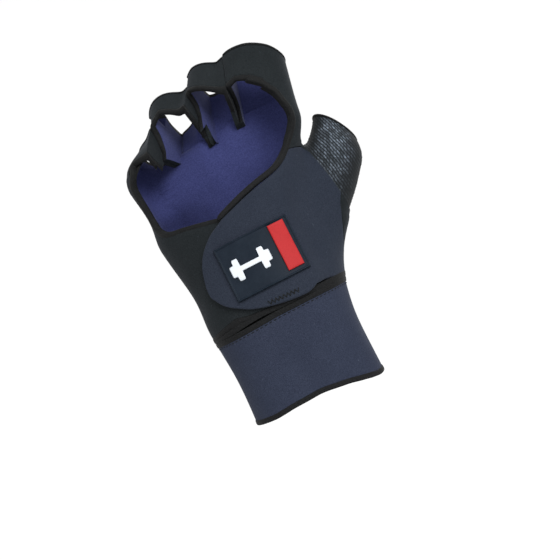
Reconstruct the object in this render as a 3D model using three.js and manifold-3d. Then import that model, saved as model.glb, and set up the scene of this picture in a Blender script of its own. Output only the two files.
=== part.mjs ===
// Open back fitness glove for a left hand, with its wrist band, as it is when worn.
// Millimetres. +Z runs along the forearm towards the fingers, -Y is the back of the
// hand, +X is the thumb side. The origin is the centre of the wrist opening.
//
// The glove is a set of thin walls round the space that a hand takes. That space is
// the smooth union of tapered rods. Each panel lies a set depth off it, and angles
// round the hand count from the back (0) towards the thumb (90).
import * as THREE from 'three';
import { mergeVertices } from 'three/addons/utils/BufferGeometryUtils.js';
import Module from 'manifold-3d';

const wasm = await Module();
wasm.setup();

// Driving dimensions
const GAP = 0.3;
const LINING = { inner: 0.05, outer: 0.7 };
const SHELL = { inner: 1.0, outer: 3.2 };
const FLAP_THICKNESS = 2.3;
const FLAP_LIFT = 2.8;
const FLAP_LIFT_ANGLES = { full: 40, none: 64 };
const WRAP_THICKNESS = 3.0;
const WRAP_TAIL_LIFT = 3.9;
const STALL = { inner: 0.1, outer: 1.5 };
const STALL_TAPE = { inner: 0.0, outer: 2.0, width: 1.8 };
const TAPE_WIDTH = 3.0;
const HEM_WIDTH = 2.7;
const TAPE_BEVEL = 0.6;
const CUT_DEEPER = 1.2;
const CUT_ROOM = 0.4;
const CUT_SPAN = { inner: 0.84, outer: 1.18 };
const CUT_ROUND_TOP = 152;
const FIELD_GAP = 0.5;

// How a ray is followed to a depth, and how far walls run past the thumb seam
const REACH = { steps: 80, close: 0.002, most: 120 };
const NORMAL_STEP = 0.2;
const PAST_SEAM = 4;

// How finely the walls are faceted
const TAPE_STEP = 5.5;
const PALM_COLUMNS = 40;
const PALM_FLATNESS = 1.7;
const PALM_ROWS = 11;
const LOOP_COLUMNS = 28;
const LOOP_ROWS = 3;
const STALL_COLUMNS = 24;
const STALL_ROWS = 5;
const FLAP_ROWS = 8;
const WRAP_ROWS = 4;
const HEM_COLUMNS = 40;
const ANGLE_STEP = { cutter: 4, flap: 8, wrap: 9 };

// The hand space: each row is a tapered rod from one centre and radius to another
const RODS = [
  { name: 'radius', x0: 13, y0: 0, z0: -25, r0: 21, x1: 15.5, y1: 0, z1: 55, r1: 17.5 },
  { name: 'ulna', x0: -14, y0: 0, z0: -25, r0: 20.5, x1: -13.5, y1: 0, z1: 55, r1: 16.5 },
  { name: 'palm_2', x0: 11.5, y0: -1, z0: 55, r0: 11, x1: 32, y1: -5, z1: 146, r1: 11.5 },
  { name: 'palm_3', x0: 4.5, y0: -2, z0: 55, r0: 11.5, x1: 12, y1: -6, z1: 152, r1: 12 },
  { name: 'palm_4', x0: -3.5, y0: -1, z0: 55, r0: 12.5, x1: -9, y1: -2.5, z1: 149, r1: 10.5 },
  { name: 'palm_5', x0: -12.5, y0: 2, z0: 55, r0: 12, x1: -27.5, y1: 6, z1: 145, r1: 10 },
  { name: 'thumb_web', x0: 22.5, y0: 5, z0: 70, r0: 8, x1: 38, y1: 0, z1: 141, r1: 8 },
  { name: 'thumb_ball', x0: 16.5, y0: 12, z0: 68, r0: 9.5, x1: 36.5, y1: 17, z1: 107, r1: 9.5 },
  { name: 'heel', x0: -17, y0: 9, z0: 68, r0: 9, x1: -26.5, y1: 14, z1: 111, r1: 9.5 },
  { name: 'thumb_base', x0: 21.5, y0: 8, z0: 60, r0: 10, x1: 66.5, y1: 12, z1: 112, r1: 11.5 },
  { name: 'thumb', x0: 57, y0: 12, z0: 106, r0: 7, x1: 76.5, y1: 16, z1: 137, r1: 8 },
  { name: 'index', x0: 45, y0: -3, z0: 144, r0: 10, x1: 54.5, y1: 3, z1: 188, r1: 10.5 },
  { name: 'index_web', x0: 32, y0: -5, z0: 148, r0: 11.5, x1: 46, y1: 2, z1: 182, r1: 8 },
  { name: 'middle', x0: 12, y0: -6, z0: 152, r0: 11.5, x1: 25, y1: 12, z1: 184, r1: 7.5 },
  { name: 'ring', x0: -10, y0: -2.5, z0: 149, r0: 10, x1: 0, y1: 17.5, z1: 178, r1: 10 },
  { name: 'little', x0: -24, y0: 4.5, z0: 146, r0: 9, x1: -13.5, y1: 25.5, z1: 166, r1: 8 },
];
const BLEND = { palm: 6, fingers: 3, from: 100, to: 155 };

// The line of centres that the angles round the wrist and palm are measured from
const AXIS = { from: [0.5, 0, 55], to: [8, 4, 150] };

// The seam plane round the thumb root, and the crotch between thumb and index finger
const CROTCH = { x: 52.3, z: 126.2, slope: 0.5 };
const THUMB_SEAM_SLOPE = 0.184;
const THUMB_ROOT = { centre: [55.9, 10, 106.5], normal: [0.983, 0, 0.181] };
const THUMB_MOUTH = { centre: [71.0, 14.9, 128.0], normal: [0.81, 0.2, 0.56] };

// Edges round the wrist, as heights at an angle: the band's low and high edge, and the
// low and high edge of the hem that ends the hand part
const WRAP_EDGES = [
  { angle: -180, low: 1.0, high: 51.0, hemLow: 51.4, hemHigh: 54.0 },
  { angle: -140, low: 2.0, high: 51.0, hemLow: 51.4, hemHigh: 54.0 },
  { angle: -110, low: 3.2, high: 51.4, hemLow: 51.8, hemHigh: 54.5 },
  { angle: -77, low: 4.6, high: 52.2, hemLow: 52.7, hemHigh: 55.4 },
  { angle: -62, low: 5.1, high: 52.5, hemLow: 52.9, hemHigh: 57.2 },
  { angle: -50, low: 5.4, high: 52.7, hemLow: 53.2, hemHigh: 58.6 },
  { angle: -42, low: 5.9, high: 52.9, hemLow: 53.6, hemHigh: 59.5 },
  { angle: -30, low: 6.6, high: 53.2, hemLow: 54.4, hemHigh: 58.2 },
  { angle: -15, low: 6.8, high: 53.6, hemLow: 54.8, hemHigh: 57.6 },
  { angle: 3, low: 7.1, high: 54.0, hemLow: 54.6, hemHigh: 57.1 },
  { angle: 32, low: 5.6, high: 54.0, hemLow: 54.4, hemHigh: 56.8 },
  { angle: 56, low: 2.4, high: 53.7, hemLow: 54.1, hemHigh: 56.4 },
  { angle: 72, low: 0.4, high: 53.5, hemLow: 53.9, hemHigh: 56.2 },
  { angle: 110, low: 0.0, high: 52.6, hemLow: 53.0, hemHigh: 55.4 },
  { angle: 145, low: 0.4, high: 51.5, hemLow: 51.9, hemHigh: 54.4 },
  { angle: 180, low: 1.0, high: 51.0, hemLow: 51.4, hemHigh: 54.0 },
];
const WRAP_START = 155;
const WRAP_OVERLAP = 52;
const WRAP_RISE = 24;
const WRAP_MARGIN = 2;

// Upper edge of the palm panel, where the finger loops begin. It has no upper edge
// across the open back.
const PALM_TOP = [
  { angle: -180, z: 147 },
  { angle: -140, z: 147 },
  { angle: -115, z: 148 },
  { angle: -95, z: 150 },
  { angle: -77, z: 151.5 },
  { angle: 64, z: 158.6 },
  { angle: 76, z: 156.5 },
  { angle: 90, z: 151 },
  { angle: 110, z: 148 },
  { angle: 180, z: 147 },
];
const PALM_TOP_GAP = { from: -76.5, to: 56 };

// The hole in the palm panel for the open back, between the centre lines of its tapes
const OPEN_BACK = [
  { angle: -88, low: 126, high: 127 },
  { angle: -86, low: 119.8, high: 134 },
  { angle: -83, low: 117.6, high: 143 },
  { angle: -79, low: 115.4, high: 151 },
  { angle: -78, low: 114.8, high: 230 },
  { angle: -61, low: 111.4, high: 230 },
  { angle: -43, low: 109.1, high: 230 },
  { angle: -23, low: 106.9, high: 230 },
  { angle: 0, low: 104, high: 230 },
  { angle: 14, low: 101, high: 230 },
  { angle: 62, low: 122.8, high: 230 },
  { angle: 64.6, low: 124.9, high: 230 },
  { angle: 65, low: 125.2, high: 158.2 },
  { angle: 67, low: 126.8, high: 153 },
  { angle: 68.5, low: 128, high: 146.5 },
  { angle: 71, low: 133, high: 138 },
];
// The window in the palm panel where the flap is the only layer
const FLAP_WINDOW = [
  { angle: 14, low: 30, high: 124.6 },
  { angle: 84.2, low: 30, high: 124.6 },
  { angle: 84.8, low: 30, high: 95.5 },
  { angle: 85.3, low: 30, high: 90.5 },
  { angle: 86.8, low: 30, high: 85 },
  { angle: 88.3, low: 30, high: 80.5 },
  { angle: 90.8, low: 30, high: 75.5 },
  { angle: 93.8, low: 30, high: 71 },
  { angle: 97.8, low: 30, high: 66.6 },
  { angle: 102.8, low: 30, high: 63.3 },
  { angle: 108.8, low: 30, high: 61 },
  { angle: 113, low: 30, high: 60 },
];

// Centre lines of the edge tapes round the open back
const STRAP_TAPE = [
  { angle: -79, z: 151 },
  { angle: -83, z: 143 },
  { angle: -86, z: 134 },
  { angle: -88, z: 126.5 },
  { angle: -85.5, z: 119 },
  { angle: -76.5, z: 114 },
  { angle: -61, z: 111.4 },
  { angle: -43, z: 109.1 },
  { angle: -23, z: 106.9 },
  { angle: 0, z: 104 },
  { angle: 14, z: 101 },
];
const FLAP_TAPE = [
  { angle: -22, z: 107.2 },
  { angle: 0, z: 110.4 },
  { angle: 19, z: 113.2 },
  { angle: 34, z: 115.2 },
  { angle: 45, z: 116.9 },
  { angle: 53.5, z: 119.1 },
  { angle: 62, z: 122.8 },
  { angle: 68.5, z: 128 },
  { angle: 71, z: 133 },
  { angle: 71, z: 138 },
  { angle: 70, z: 142 },
  { angle: 68, z: 148 },
  { angle: 67, z: 153 },
  { angle: 65, z: 157.4 },
];

// The navy closing flap: its lower and upper edge at an angle, from its round end
const FLAP_EDGES = [
  { angle: -56, low: 79.4, high: 80.6 },
  { angle: -55, low: 75.0, high: 86.2 },
  { angle: -51, low: 71.6, high: 93.0 },
  { angle: -43, low: 67.0, high: 98.6 },
  { angle: -31, low: 62.9, high: 103.3 },
  { angle: -21, low: 60.2, high: 105.4 },
  { angle: 0, low: 57.2, high: 108.5 },
  { angle: 19, low: 55.6, high: 111.3 },
  { angle: 34, low: 55.0, high: 113.3 },
  { angle: 40, low: 55.8, high: 114.2 },
  { angle: 45, low: 57.0, high: 115.0 },
  { angle: 53, low: 57.0, high: 117.0 },
  { angle: 62, low: 57.0, high: 120.8 },
  { angle: 66, low: 57.0, high: 124.0 },
  { angle: 83.4, low: 56.8, high: 124.0 },
  { angle: 84, low: 56.8, high: 95.5 },
  { angle: 84.5, low: 56.8, high: 90 },
  { angle: 86, low: 56.8, high: 84.5 },
  { angle: 87.5, low: 56.7, high: 80 },
  { angle: 90, low: 56.7, high: 75 },
  { angle: 93, low: 56.6, high: 70.5 },
  { angle: 97, low: 56.5, high: 66 },
  { angle: 102, low: 56.4, high: 62.6 },
  { angle: 108, low: 56.3, high: 60.2 },
  { angle: 112, low: 56.2, high: 59.2 },
];

// Finger loops: the axis that each one turns round, and its lower and upper edge, in
// millimetres along the axis, at angles from the back of the finger to the thumb side
const LOOPS = [
  {
    name: 'index_loop', from: [40, -3, 148], to: [50.5, 3, 186],
    low: [
      [-180, -12], [-135, -12], [-112, 8], [-90, 11], [-51, 13.4],
      [-38, 15.4], [-5, 13.4], [15, 10.6], [40, -12], [180, -12],
    ],
    high: [
      [-180, 30], [-90, 34], [-59, 35], [-15, 34.7], [31, 32.5], [72, 29.2], [120, 28], [180, 30],
    ],
  },
  {
    name: 'middle_loop', from: [11.5, -6, 152], to: [24.5, 12, 188],
    low: [
      [-180, -12], [-135, -12], [-112, 12], [-90, 17], [-50, 21.7],
      [-2, 17.7], [28, 15.5], [50, 12], [90, 11], [112, 8], [135, -12], [180, -12],
    ],
    high: [[-180, 34], [-90, 38], [-50, 39.6], [-18, 39.2], [43, 38], [90, 37], [180, 34]],
  },
  {
    name: 'ring_loop', from: [-12, -2.5, 149], to: [0.5, 18, 179],
    low: [
      [-180, -12], [-135, -12], [-112, 6], [-90, 9.5], [-55, 16.5],
      [-28, 21.8], [7, 19.4], [35, 16.4], [90, 12.5], [112, 9], [135, -12], [180, -12],
    ],
    high: [[-180, 31], [-90, 34], [0, 36], [90, 35], [180, 31]],
  },
  {
    name: 'little_loop', from: [-24, 6, 145], to: [-13, 26, 167],
    low: [
      [-180, -12], [-75, -12], [-50, -1], [-27, -1.2], [0, -3],
      [30, -3], [60, 3], [90, 8], [112, 6], [135, -12], [180, -12],
    ],
    high: [[-180, 21], [-90, 18], [-30, 18], [30, 19], [90, 20], [180, 21]],
  },
];
// The planes that part neighbouring fingers, and the height where the shorter one ends
const SEPTA = [
  { point: [28.3, -15, 164.7], normal: [0.955, -0.156, -0.253], until: 186 },
  { point: [6.0, -8, 172], normal: [0.9, -0.42, -0.1], until: 182 },
  { point: [-17.5, -1, 160], normal: [0.91, -0.4, -0.1], until: 168 },
];

// The rubber badge on the flap, its red bar and its raised pictogram
const BADGE = {
  x: 6.1, z: 80.4, width: 40.0, height: 28.6, base: 1.0, rim: 0.4, rimWidth: 1.2, rimSlope: 0.4,
};
const BAR = { x: 19.5, z: 81.0, width: 8.6, height: 24.4, thickness: 0.8 };
const EMBLEM = { x: 0.2, z: 80.4, length: 21.6, thickness: 0.6 };
const EMBLEM_PROFILE = [
  { along: -1.0, half: 3.0 },
  { along: -0.8, half: 3.0 },
  { along: -0.78, half: 5.6 },
  { along: -0.5, half: 5.6 },
  { along: -0.48, half: 1.3 },
  { along: 0.48, half: 1.3 },
  { along: 0.5, half: 5.6 },
  { along: 0.78, half: 5.6 },
  { along: 0.8, half: 3.0 },
  { along: 1.0, half: 3.0 },
];

const FINISH = {
  neoprene: { color: 0x262b2c, roughness: 0.85, metalness: 0 },
  navy: { color: 0x2d3440, roughness: 0.85, metalness: 0 },
  band: { color: 0x363a4c, roughness: 0.85, metalness: 0 },
  tape: { color: 0x17191a, roughness: 0.8, metalness: 0 },
  lining: { color: 0x3c447d, roughness: 0.95, metalness: 0 },
  knit: { color: 0x3c4448, roughness: 0.9, metalness: 0 },
  rubber: { color: 0x242c38, roughness: 0.5, metalness: 0 },
  red: { color: 0xd64040, roughness: 0.5, metalness: 0 },
  white: { color: 0xe8eef6, roughness: 0.5, metalness: 0 },
};

const rad = THREE.MathUtils.degToRad;
const { clamp, smoothstep } = THREE.MathUtils;
const add = (a, b, s = 1) => [a[0] + b[0] * s, a[1] + b[1] * s, a[2] + b[2] * s];
const dot = (a, b) => a[0] * b[0] + a[1] * b[1] + a[2] * b[2];
const cross = (a, b) => [a[1] * b[2] - a[2] * b[1], a[2] * b[0] - a[0] * b[2], a[0] * b[1] - a[1] * b[0]];
const unit = (a) => add([0, 0, 0], a, 1 / Math.hypot(...a));
const mix = (a, b, t) => a.map((value, i) => value + (b[i] - value) * t);

// Linear reading of a table, by its key column
function read(table, key, column, at) {
  let i = 1;
  while (i < table.length - 1 && table[i][key] < at) i += 1;
  const a = table[i - 1];
  const b = table[i];
  const t = clamp((at - a[key]) / (b[key] - a[key]), 0, 1);
  return a[column] + (b[column] - a[column]) * t;
}

const readPairs = (pairs, at) => read(pairs, 0, 1, at);
const wrapAngle = (angle) => THREE.MathUtils.euclideanModulo(angle + 180, 360) - 180;
const edge = (column, angle) => read(WRAP_EDGES, 'angle', column, wrapAngle(angle));

// Depth of a point off the hand space: below zero inside it
function depthOf(p) {
  const k = BLEND.palm + (BLEND.fingers - BLEND.palm) * smoothstep(p[2], BLEND.from, BLEND.to);
  let sum = 0;
  for (const rod of RODS) {
    const ax = rod.x1 - rod.x0;
    const ay = rod.y1 - rod.y0;
    const az = rod.z1 - rod.z0;
    const px = p[0] - rod.x0;
    const py = p[1] - rod.y0;
    const pz = p[2] - rod.z0;
    const t = clamp((px * ax + py * ay + pz * az) / (ax * ax + ay * ay + az * az), 0, 1);
    const off = Math.hypot(px - ax * t, py - ay * t, pz - az * t);
    sum += Math.exp(-clamp((off - rod.r0 - (rod.r1 - rod.r0) * t) / k, -30, 30));
  }
  return -k * Math.log(Math.max(sum, 1e-13));
}

function normalAt(p) {
  const h = NORMAL_STEP;
  const slope = [0, 1, 2].map((i) => {
    const step = [0, 0, 0];
    step[i] = h;
    return depthOf(add(p, step)) - depthOf(add(p, step, -1));
  });
  return unit(slope);
}

// Distance along a ray from inside the hand space to a depth, at most limit
function reach(from, ray, depth, limit) {
  let far = 0;
  for (let i = 0; i < REACH.steps; i += 1) {
    const step = depth - depthOf(add(from, ray, far));
    if (step < REACH.close) return Math.min(far, limit);
    far += step;
    if (far > limit) return limit;
  }
  return Math.min(far, limit);
}

// The side of the thumb seam, as the greatest x that the palm walls keep
function seamX(z) {
  if (z < CROTCH.z) return CROTCH.x + THUMB_SEAM_SLOPE * (CROTCH.z - z);
  return CROTCH.x + CROTCH.slope * (z - CROTCH.z);
}

function axisAt(z) {
  const t = clamp((z - AXIS.from[2]) / (AXIS.to[2] - AXIS.from[2]), 0, 1);
  const p = mix(AXIS.from, AXIS.to, t);
  return [p[0], p[1], z];
}

// Point of the wrist or palm wall at an angle, a height and a depth
function handPoint(angle, z, depth) {
  const centre = axisAt(z);
  const ray = [Math.sin(rad(angle)), -Math.cos(rad(angle)), 0];
  const past = PAST_SEAM + depth - SHELL.outer;
  const limit = ray[0] > 0.05 ? (seamX(z) + past - centre[0]) / ray[0] : REACH.most;
  return add(centre, ray, reach(centre, ray, depth, Math.min(limit, REACH.most)));
}

function angleOf(p) {
  const centre = axisAt(p[2]);
  return THREE.MathUtils.radToDeg(Math.atan2(p[0] - centre[0], centre[1] - p[1]));
}

function geometryFrom(vertices, triangles) {
  const geometry = new THREE.BufferGeometry();
  geometry.setAttribute('position', new THREE.Float32BufferAttribute(vertices, 3));
  geometry.setIndex(triangles);
  return geometry;
}

function signedVolume(vertices, triangles) {
  let volume = 0;
  for (let i = 0; i < triangles.length; i += 3) {
    const [a, b, c] = [0, 1, 2].map((k) => vertices[triangles[i + k]]);
    volume += dot(a, cross(b, c));
  }
  return volume / 6;
}

// A closed body round a ring of section points that moves along a path: section(i)
// gives the points of step i, in order round the section. Both faces of a wall are
// split along the same diagonals, so layers keep their distance.
function sweep(steps, closed, section) {
  const rings = [];
  for (let i = 0; i < steps; i += 1) rings.push(section(i));
  const size = rings[0].length;
  const vertices = rings.flat();
  const triangles = [];
  const quad = (a, b, c, d) => triangles.push(a, b, c, a, c, d);
  const turned = (a, b, c, d) => triangles.push(a, b, d, b, c, d);
  const spans = closed ? steps : steps - 1;
  for (let i = 0; i < spans; i += 1) {
    const next = (i + 1) % steps;
    for (let j = 0; j < size; j += 1) {
      const k = (j + 1) % size;
      const split = j < size / 2 ? quad : turned;
      split(i * size + j, next * size + j, next * size + k, i * size + k);
    }
  }
  if (!closed) {
    const last = (steps - 1) * size;
    for (let j = 0; j < size / 2 - 1; j += 1) {
      const k = size - 1 - j;
      quad(j, j + 1, k - 1, k);
      quad(last + j, last + k, last + k - 1, last + j + 1);
    }
  }
  if (signedVolume(vertices, triangles) < 0) triangles.reverse();
  return geometryFrom(vertices.flat(), triangles);
}

// A wall: rows of outer points up and inner points down, for each column
function wall(columns, rows, closed, point) {
  return sweep(columns.length, closed, (i) => {
    const section = [];
    for (let j = 0; j <= rows; j += 1) section.push(point(columns[i], j / rows, true));
    for (let j = rows; j >= 0; j -= 1) section.push(point(columns[i], j / rows, false));
    return section;
  });
}

// Columns from a to b, with the table's own angles among them, at most step apart
function spaced(a, b, step, through = []) {
  const stops = [a, ...through.filter((x) => x > a + 0.5 && x < b - 0.5), b];
  const columns = [a];
  for (let i = 1; i < stops.length; i += 1) {
    const parts = Math.max(1, Math.ceil((stops[i] - stops[i - 1]) / step));
    for (let k = 1; k <= parts; k += 1) {
      columns.push(stops[i - 1] + ((stops[i] - stops[i - 1]) * k) / parts);
    }
  }
  return columns;
}

const ends = (table) => [table[0].angle, table[table.length - 1].angle];

// Angles of a full turn, closer together at the two narrow sides of a flat section
function around(count, flatness = 1) {
  return Array.from({ length: count }, (_, i) => {
    const turn = 2 * Math.PI * (i / count) - Math.PI;
    return THREE.MathUtils.radToDeg(Math.atan2(flatness * Math.sin(turn), Math.cos(turn)));
  });
}

// A cutter through the walls between two heights, over a run of angles
function sector(table) {
  const columns = spaced(...ends(table), ANGLE_STEP.cutter, table.map((row) => row.angle));
  return wall(columns, 1, false, (angle, v, outer) => {
    const z = v === 0 ? read(table, 'angle', 'low', angle) : read(table, 'angle', 'high', angle);
    const centre = axisAt(z);
    const rim = handPoint(angle, Math.min(z, CUT_ROUND_TOP), 2);
    const out = outer ? CUT_SPAN.outer : CUT_SPAN.inner;
    return [centre[0] + (rim[0] - centre[0]) * out, centre[1] + (rim[1] - centre[1]) * out, z];
  });
}

// Points along a table of angles and heights, as an even curve on the hand space
function path(table, step) {
  const stops = table.map((row) => new THREE.Vector3(...handPoint(row.angle, row.z, 2)));
  const curve = new THREE.CatmullRomCurve3(stops, false, 'centripetal');
  const length = curve.getLength();
  return curve.getSpacedPoints(Math.ceil(length / step)).map((p) => p.toArray());
}

// Edge tape along points that lie near the wall. depths(point) gives its inner and
// outer depth. With room it is a cutter that leaves that much room beside the tape.
function tape(points, closed, width, depths, room = 0) {
  const bevel = room > 0 ? 0 : TAPE_BEVEL;
  const deeper = room > 0 ? CUT_DEEPER : 0;
  const n = points.length;
  return sweep(n, closed, (i) => {
    const before = points[closed ? (i + n - 1) % n : Math.max(i - 1, 0)];
    const after = points[closed ? (i + 1) % n : Math.min(i + 1, n - 1)];
    const along = unit(add(after, before, -1));
    const normal = normalAt(points[i]);
    const side = unit(cross(normal, along));
    const { inner, outer } = depths(points[i]);
    let base = add(points[i], normal, -depthOf(points[i]));
    if (!closed && i === 0) base = add(base, along, -room);
    if (!closed && i === n - 1) base = add(base, along, room);
    const half = width / 2 + room;
    const low = inner - deeper;
    const high = outer + deeper;
    const at = (s, d) => add(add(base, side, s), normal, d);
    return [
      at(-half, low),
      at(-half, high - bevel),
      at(bevel - half, high),
      at(half - bevel, high),
      at(half, high - bevel),
      at(half, low),
    ].filter((corner, j) => bevel > 0 || (j !== 2 && j !== 3));
  });
}

function toSolid(geometry) {
  const clean = geometry.clone();
  clean.deleteAttribute('normal');
  clean.deleteAttribute('uv');
  const merged = mergeVertices(clean, 1e-5);
  const mesh = new wasm.Mesh({
    numProp: 3,
    vertProperties: new Float32Array(merged.attributes.position.array),
    triVerts: new Uint32Array(merged.index.array),
  });
  return new wasm.Manifold(mesh);
}

function fromSolid(solid) {
  const { vertProperties, triVerts } = solid.getMesh();
  return geometryFrom(Array.from(vertProperties), Array.from(triVerts));
}

// The body less the cutters, without the crumbs that lie between two cuts
function without(geometry, ...cutters) {
  let solid = toSolid(geometry);
  for (const cutter of cutters) solid = solid.subtract(toSolid(cutter));
  const bodies = solid.decompose();
  return fromSolid(bodies.reduce((a, b) => (a.volume() > b.volume() ? a : b)));
}

// All that lies beyond the thumb seam, as a prism along Y
function thumbWedge() {
  const lowZ = 60;
  const highZ = 175;
  const shape = new THREE.Shape();
  shape.moveTo(CROTCH.x, CROTCH.z);
  shape.lineTo(seamX(lowZ), lowZ);
  shape.lineTo(130, lowZ);
  shape.lineTo(130, highZ);
  shape.lineTo(seamX(highZ), highZ);
  shape.closePath();
  const prism = new THREE.ExtrudeGeometry(shape, { depth: 160, bevelEnabled: false });
  prism.rotateX(Math.PI / 2);
  prism.translate(0, 80, 0);
  return prism;
}

const flapLift = (angle) => {
  const { full, none } = FLAP_LIFT_ANGLES;
  return FLAP_LIFT * (1 - smoothstep(angle, full, none));
};

function tapeDepths(base, thickness) {
  return { inner: base - 0.2, outer: base + thickness + 0.4 };
}
const shellTape = () => ({ inner: SHELL.inner - 0.3, outer: SHELL.outer + 0.25 });
const flapTape = (p) => tapeDepths(SHELL.inner + flapLift(angleOf(p)), FLAP_THICKNESS);

const strapPath = path(STRAP_TAPE, TAPE_STEP);
const flapPath = path(FLAP_TAPE, TAPE_STEP);
// Point of a finger loop at an angle round the finger, a distance along it and a depth
function fingerFrame(loop) {
  const along = unit(add(loop.to, loop.from, -1));
  const back = unit(add([0, -1, 0], along, along[1]));
  const side = cross(back, along);
  return { along, back, side: side[0] > 0 ? side : add([0, 0, 0], side, -1) };
}

function fingerPoint(index, angle, t, outer) {
  const loop = LOOPS[index];
  const { along, back, side } = fingerFrame(loop);
  const centre = add(loop.from, along, t);
  const ray = add(add([0, 0, 0], back, Math.cos(rad(angle))), side, Math.sin(rad(angle)));
  const inset = GAP / 2 + (outer ? 0 : SHELL.outer - SHELL.inner);
  let limit = REACH.most;
  for (const [septum, sign] of [[SEPTA[index], 1], [SEPTA[index - 1], -1]]) {
    if (!septum) continue;
    const free = sign > 0 && Math.abs(angle) < 100;
    const above = free ? Math.max(0, centre[2] - septum.until) : 0;
    const room = sign * dot(add(centre, septum.point, -1), septum.normal) - inset + above;
    const speed = -sign * dot(ray, septum.normal);
    if (speed > 0.02) limit = Math.min(limit, Math.max(room / speed, outer ? 4 : 1.8));
  }
  const depth = outer ? SHELL.outer : SHELL.inner;
  return add(centre, ray, reach(centre, ray, depth, limit));
}

// The loop's lower edge keeps clear of the palm panel's upper edge
function loopStart(index, angle, outer) {
  const start = readPairs(LOOPS[index].low, angle);
  const clear = (t) => {
    const p = fingerPoint(index, angle, t, outer);
    const at = angleOf(p);
    const onBack = Math.abs(angle) < 100 && at > PALM_TOP_GAP.from && at < PALM_TOP_GAP.to;
    return onBack || p[2] > read(PALM_TOP, 'angle', 'z', at) + GAP;
  };
  if (clear(start)) return start;
  let low = start;
  let high = 30;
  for (let i = 0; i < 16; i += 1) {
    const middle = (low + high) / 2;
    if (clear(middle)) high = middle;
    else low = middle;
  }
  return high;
}

// Point of the thumb sleeve: its rows turn from the seam plane to the mouth plane
function stallPoint(angle, t, depth, shift = 0) {
  const normal = unit(mix(THUMB_ROOT.normal, THUMB_MOUTH.normal, t));
  const centre = add(mix(THUMB_ROOT.centre, THUMB_MOUTH.centre, t), normal, shift);
  const back = unit(add([0, -1, 0], normal, normal[1]));
  const side = cross(back, normal);
  const ray = add(add([0, 0, 0], back, Math.cos(rad(angle))), side, Math.sin(rad(angle)));
  return add(centre, ray, reach(centre, ray, depth, REACH.most));
}

// Point on the back of the hand, straight out from x and z
function backPoint(x, z, depth) {
  const out = [0, -1, 0];
  return add([x, 0, z], out, reach([x, 0, z], out, depth, REACH.most));
}

// A raised plate on the flap: columns along x, rows along z, height(x, z) above base
function plate(columns, rowsAt, base, height) {
  return sweep(columns.length, false, (i) => {
    const x = columns[i];
    const rows = rowsAt(x);
    const point = (z, lift) => {
      const flapTop = (p) => SHELL.inner + flapLift(angleOf(p)) + FLAP_THICKNESS;
      let seat = backPoint(x, z, SHELL.outer);
      for (let k = 0; k < 3; k += 1) seat = backPoint(x, z, flapTop(seat));
      return backPoint(x, z, flapTop(seat) + CUT_ROOM + base + lift);
    };
    const over = rows.map((z) => point(z, height(x, z)));
    const under = rows.map((z) => point(z, 0)).reverse();
    return [...over, ...under];
  });
}

const group = new THREE.Group();

function addPiece(name, geometry, finish) {
  const mesh = new THREE.Mesh(geometry, new THREE.MeshStandardMaterial(FINISH[finish]));
  mesh.name = name;
  group.add(mesh);
}

const strapTape = (grow) => tape(strapPath, false, TAPE_WIDTH, shellTape, grow);
const flapTapeBody = (grow) => tape(flapPath, false, TAPE_WIDTH, flapTape, grow);

// Palm panel and its lining: a tube with the thumb hole and the open back cut out
function palmTube(layer) {
  return wall(around(PALM_COLUMNS, PALM_FLATNESS), PALM_ROWS, true, (angle, v, outer) => {
    const low = edge('hemHigh', angle) + GAP;
    const high = read(PALM_TOP, 'angle', 'z', wrapAngle(angle));
    return handPoint(angle, low + (high - low) * v, outer ? layer.outer : layer.inner);
  });
}
const openings = [
  sector(OPEN_BACK),
  sector(FLAP_WINDOW),
  thumbWedge(),
  strapTape(CUT_ROOM),
  flapTapeBody(CUT_ROOM),
];
addPiece('palm_panel', without(palmTube(SHELL), ...openings), 'neoprene');
addPiece('palm_lining', without(palmTube(LINING), ...openings), 'lining');

LOOPS.forEach((loop, index) => {
  addPiece(loop.name, wall(around(LOOP_COLUMNS), LOOP_ROWS, true, (angle, v, outer) => {
    const low = loopStart(index, angle, outer);
    const high = readPairs(loop.high, angle);
    return fingerPoint(index, angle, low + (high - low) * v, outer);
  }), 'neoprene');
});

addPiece('thumb_stall', wall(around(STALL_COLUMNS), STALL_ROWS, true, (angle, v, outer) => (
  stallPoint(angle, v, outer ? STALL.outer : STALL.inner, v === 0 ? GAP : 0)
)), 'knit');
addPiece('thumb_tape', wall(around(STALL_COLUMNS), 1, true, (angle, v, outer) => (
  stallPoint(angle, 1, outer ? STALL_TAPE.outer : STALL_TAPE.inner, GAP + v * STALL_TAPE.width)
)), 'tape');

const flapColumns = spaced(...ends(FLAP_EDGES), ANGLE_STEP.flap, FLAP_EDGES.map((row) => row.angle));
const flapWall = wall(flapColumns, FLAP_ROWS, false, (angle, v, outer) => {
  const low = read(FLAP_EDGES, 'angle', 'low', angle);
  const high = read(FLAP_EDGES, 'angle', 'high', angle);
  const depth = SHELL.inner + flapLift(angle) + (outer ? FLAP_THICKNESS : 0);
  return handPoint(angle, low + (high - low) * v, depth);
});
addPiece('back_flap', without(flapWall, thumbWedge(), flapTapeBody(CUT_ROOM)), 'navy');
addPiece('flap_tape', flapTapeBody(0), 'tape');
addPiece('strap_tape', strapTape(0), 'tape');

// A folded edge tape along a row of columns: point(column, v, depth) across its width
function hem(columns, closed, inner, outer, point) {
  const section = [
    [0, inner], [0, outer - TAPE_BEVEL], [0.2, outer], [0.8, outer], [1, outer - TAPE_BEVEL], [1, inner],
  ];
  return sweep(columns.length, closed, (i) => section.map(([v, depth]) => point(columns[i], v, depth)));
}
const handHem = hem(
  around(HEM_COLUMNS, PALM_FLATNESS), true, SHELL.inner - 0.3, SHELL.outer + 0.3,
  (angle, v, depth) => handPoint(angle, edge('hemLow', angle) * (1 - v) + edge('hemHigh', angle) * v, depth),
);
addPiece('hand_hem', handHem, 'tape');

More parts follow.
